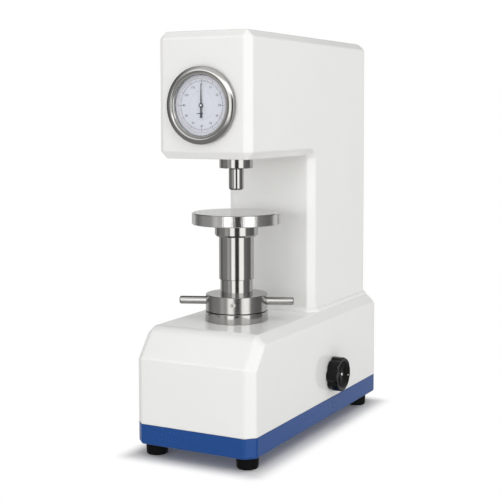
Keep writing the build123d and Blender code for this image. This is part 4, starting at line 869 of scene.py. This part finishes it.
@dataclass
class Studio:
    """Camera, lamps, floor and world.

    Heights of what polished surfaces see are sines of an elevation, and distances towards the
    front are cosines from the studio's front direction.

    Attributes:
        camera_place: Where the camera stands.
        yaw: How far it is turned from +Y towards -X, in degrees.
        pitch: How far it looks down, in degrees.
        focal: Focal length in pixels of the 500 by 500 frame.
        middle: Pixel of the optical axis, from the upper left.
        frame_size: Side of that frame in pixels.
        lamp_aim: The point that the lamps face.
        floor_radius: Radius of the floor.
        floor_colour: Its paint, sRGB hex.
        shadow_reach: Distances from the base's outline over which the floor turns from lit matt paint,
            which shows the rendered shadow, to an even white glow; this fade is painted shade.
        soft: Strength of the even light at the horizon and from above.
        front: Bearing of the studio's front direction, in degrees towards the right.
        gain: Strength of everything that polished surfaces see.
        wall: Brightness of the wall behind the machine.
        wall_depth: Distances behind the machine at which the wall fades in.
        wall_foot: Heights at which it fades in.
        ceiling: Brightness of the ceiling behind the machine and in front of it.
        ceiling_turn: Distances between which it changes.
        ceiling_foot: Heights at which it fades in.
        tube: Brightness of the long lamp over the front.
        tube_height: How high it stands.
        tube_edge: Heights above and below its middle between which it fades out.
        tube_front: Distances at which it fades in.
        ground: Brightness of the ground.
        ground_edge: Heights at which the ground fades out.
    """

    camera_place: Triple = (0.922, -1.637, 0.567)
    yaw: float = 27.014
    pitch: float = 4.264
    focal: float = 1102.875
    middle: Pair = (281.898, 195.34)
    frame_size: float = 500.0
    lamp_aim: Triple = (0.0, 0.1, 0.35)
    floor_radius: float = 12.0
    floor_colour: str = "F3F2F1"
    shadow_reach: Pair = (-0.004, 0.036)
    soft: Pair = (0.63, 0.46)
    front: float = 29.0
    gain: float = 2.0
    wall: float = 0.42
    wall_depth: Pair = (-0.55, -0.75)
    wall_foot: Pair = (0.0, 0.03)
    ceiling: Pair = (0.08, 0.6)
    ceiling_turn: Pair = (-0.25, 0.25)
    ceiling_foot: Pair = (0.14, 0.4)
    tube: float = 1.5
    tube_height: float = 0.42
    tube_edge: Pair = (0.11, 0.17)
    tube_front: Pair = (0.1, 0.4)
    ground: float = 0.2
    ground_edge: Pair = (-0.45, -0.2)

    def build(self) -> None:
        """Set the scene up."""
        self.place_camera()
        self.lamp("key", (-0.1, -3.0, 0.6), (2.6, 0.9), 19.5)       # low and wide, in front
        self.lamp("fill", (2.8, -0.6, 1.0), (2.0, 1.6), 9.5)        # at the right
        self.lamp("top", (1.0, -0.6, 2.5), (1.8, 1.8), 17.0)        # above the right of the front
        self.make_floor()
        self.make_world()
        bpy.context.scene.view_settings.view_transform = "Standard"

    def place_camera(self) -> None:
        """Camera at the given angle, with a small shift for the framing."""
        data = bpy.data.cameras.new("camera")
        data.sensor_width = 36.0
        data.lens = self.focal * data.sensor_width / self.frame_size
        data.shift_x = (self.frame_size / 2 - self.middle[0]) / self.frame_size
        data.shift_y = (self.middle[1] - self.frame_size / 2) / self.frame_size
        camera = bpy.data.objects.new("camera", data)
        camera.location = self.camera_place
        camera.rotation_euler = (radians(90 - self.pitch), 0.0, radians(self.yaw))
        bpy.context.scene.collection.objects.link(camera)
        bpy.context.scene.camera = camera

    def lamp(self, name: str, place: Triple, size: Pair, power: float) -> None:
        """A soft lamp that faces the machine's middle and that no surface mirrors.

        Args:
            name: Name of the lamp.
            place: Where it hangs.
            size: Its width and its height.
            power: Its power in watts.
        """
        data = bpy.data.lights.new(name, "AREA")
        data.shape = "RECTANGLE"
        data.size, data.size_y = size
        data.energy = power
        made = bpy.data.objects.new(name, data)
        made.location = place
        aim = Vector(self.lamp_aim) - Vector(place)
        made.rotation_euler = aim.to_track_quat("-Z", "Y").to_euler()
        made.visible_glossy = False
        bpy.context.scene.collection.objects.link(made)

    def make_floor(self) -> None:
        """Pale floor: lit matt paint keeps the machine's rendered shadow near the base, and a white glow
        that grows with distance from the base's outline paints the shadow's fade.
        """
        mesh = bpy.data.meshes.new("floor")
        work = bmesh.new()
        bmesh.ops.create_circle(work, cap_ends=True, radius=self.floor_radius, segments=64)
        work.to_mesh(mesh)
        work.free()
        floor = bpy.data.objects.new("floor", mesh)
        bpy.context.scene.collection.objects.link(floor)
        floor.visible_glossy = False
        paint = bpy.data.materials.new("floor_paint_matt")
        paint.use_nodes = True
        tree = paint.node_tree
        tree.nodes.remove(tree.nodes["Principled BSDF"])
        # painted shade: the glow's share grows with distance from the base's outline, so the floor is
        # darker near the base even where it is fully lit; the rest of the shadow there is rendered
        fade = graded(tree, self.past_base(tree), self.shadow_reach, curve="SMOOTHSTEP")
        seen = add_node(tree, "ShaderNodeLightPath").outputs["Is Camera Ray"]
        matt = add_node(tree, "ShaderNodeBsdfDiffuse", {"Color": linear(self.floor_colour)})
        glow = add_node(tree, "ShaderNodeEmission", {"Color": grey(1.0), "Strength": 1.0})
        mix = add_node(tree, "ShaderNodeMixShader",
                       {0: calculate(tree, "MULTIPLY", fade, seen), 1: matt.outputs[0], 2: glow.outputs[0]})
        tree.links.new(mix.outputs[0], tree.nodes["Material Output"].inputs["Surface"])
        mesh.materials.append(paint)

    @staticmethod
    def past_base(tree: bpy.types.NodeTree) -> Socket:
        """Distance of a point of the floor from the outline of the base.

        Args:
            tree: The floor's tree.

        Returns:
            A number's socket, in metres.
        """
        low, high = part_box("base_pan")
        middle, half = (low + high) / 2, (high - low) / 2
        steps = (("SUBTRACT", (middle.x, middle.y, 0.0)), ("ABSOLUTE", (0.0, 0.0, 0.0)),
                 ("SUBTRACT", (half.x, half.y, 0.0)), ("MAXIMUM", (0.0, 0.0, 0.0)))
        place = add_node(tree, "ShaderNodeTexCoord").outputs["Object"]
        for operation, other in steps:
            place = add_node(tree, "ShaderNodeVectorMath", {0: place, 1: other},
                             operation=operation).outputs["Vector"]
        return add_node(tree, "ShaderNodeVectorMath", {0: place}, operation="LENGTH").outputs["Value"]

    def make_world(self) -> None:
        """White background, an even soft light, and a studio that only polished surfaces see."""
        world = bpy.data.worlds.new("studio")
        bpy.context.scene.world = world
        world.use_nodes = True
        tree = world.node_tree
        tree.nodes.remove(tree.nodes["Background"])
        aim = add_node(tree, "ShaderNodeTexCoord").outputs["Generated"]
        height = add_node(tree, "ShaderNodeSeparateXYZ", {0: aim}).outputs["Z"]
        white = add_node(tree, "ShaderNodeBackground", {"Color": grey(1.0), "Strength": 1.0})
        soft = add_node(tree, "ShaderNodeBackground",
                        {"Color": grey(1.0), "Strength": graded(tree, height, (0.0, 1.0), self.soft)})
        mirrored = add_node(tree, "ShaderNodeBackground",
                            {"Color": self.surroundings(tree, aim, height), "Strength": self.gain})
        path = add_node(tree, "ShaderNodeLightPath").outputs
        unlit = calculate(tree, "MAXIMUM", path["Is Camera Ray"], path["Is Transmission Ray"])
        light = add_node(tree, "ShaderNodeMixShader",
                         {0: path["Is Glossy Ray"], 1: soft.outputs[0], 2: mirrored.outputs[0]})
        mix = add_node(tree, "ShaderNodeMixShader", {0: unlit, 1: light.outputs[0], 2: white.outputs[0]})
        tree.links.new(mix.outputs[0], tree.nodes["World Output"].inputs["Surface"])

    def surroundings(self, tree: bpy.types.NodeTree, aim: Socket, height: Socket) -> Socket:
        """What polished surfaces see: lamps and boards round the horizon, wall, ceiling, tube, ground.

        Args:
            tree: The world's tree.
            aim: Direction that is looked in.
            height: The direction's Z part.

        Returns:
            A colour's socket.
        """
        turn = radians(self.front)
        ahead = add_node(tree, "ShaderNodeVectorMath", {0: aim, 1: (sin(turn), -cos(turn), 0.0)},
                         operation="DOT_PRODUCT").outputs["Value"]
        wall = calculate(tree, "MULTIPLY", graded(tree, ahead, self.wall_depth),
                         graded(tree, height, self.wall_foot))
        walled = blended(tree, wall, self.horizon(tree, aim), grey(self.wall))
        covered = blended(tree, graded(tree, height, self.ceiling_foot), walled,
                          graded(tree, ahead, self.ceiling_turn, self.ceiling))
        off = calculate(tree, "ABSOLUTE", calculate(tree, "SUBTRACT", height, self.tube_height))
        tube = calculate(tree, "MULTIPLY", graded(tree, off, self.tube_edge, (1.0, 0.0)),
                         graded(tree, ahead, self.tube_front))
        lit = blended(tree, tube, covered, grey(self.tube))
        below = graded(tree, height, self.ground_edge, (1.0, 0.0))
        return blended(tree, below, lit, grey(self.ground))

    @staticmethod
    def horizon(tree: bpy.types.NodeTree, aim: Socket) -> Socket:
        """Brightness round the horizon, by the bearing of a direction.

        Args:
            tree: The world's tree.
            aim: Direction that is looked in.

        Returns:
            A colour's socket.
        """
        part = add_node(tree, "ShaderNodeSeparateXYZ", {0: aim}).outputs
        bearing = calculate(tree, "ARCTAN2", part["X"], calculate(tree, "MULTIPLY", part["Y"], -1.0))
        share = calculate(tree, "MULTIPLY_ADD", bearing, 1 / tau, 0.5)
        strips = add_node(tree, "ShaderNodeValToRGB", {"Fac": share})
        stops = strips.color_ramp.elements
        for end in (0, -1):
            angle, level = HORIZON[end]
            stops[end].position = angle / 360 + 0.5
            stops[end].color = grey(level)
        for angle, level in HORIZON[1:-1]:
            stops.new(angle / 360 + 0.5).color = grey(level)
        return strips.outputs["Color"]


def main() -> None:
    """Build the visual model."""
    logging.basicConfig(level=logging.INFO, format="%(name)s: %(message)s")
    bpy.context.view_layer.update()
    bars = RingOfBars()
    for part in (Studio(), Housing(), TestAxis(), LoadTrain(), SelectorKnob(bars), Dial(bars)):
        part.build()
        log.info("finished %s", type(part).__name__)
    bpy.context.view_layer.update()


if __name__ == "__main__":
    main()
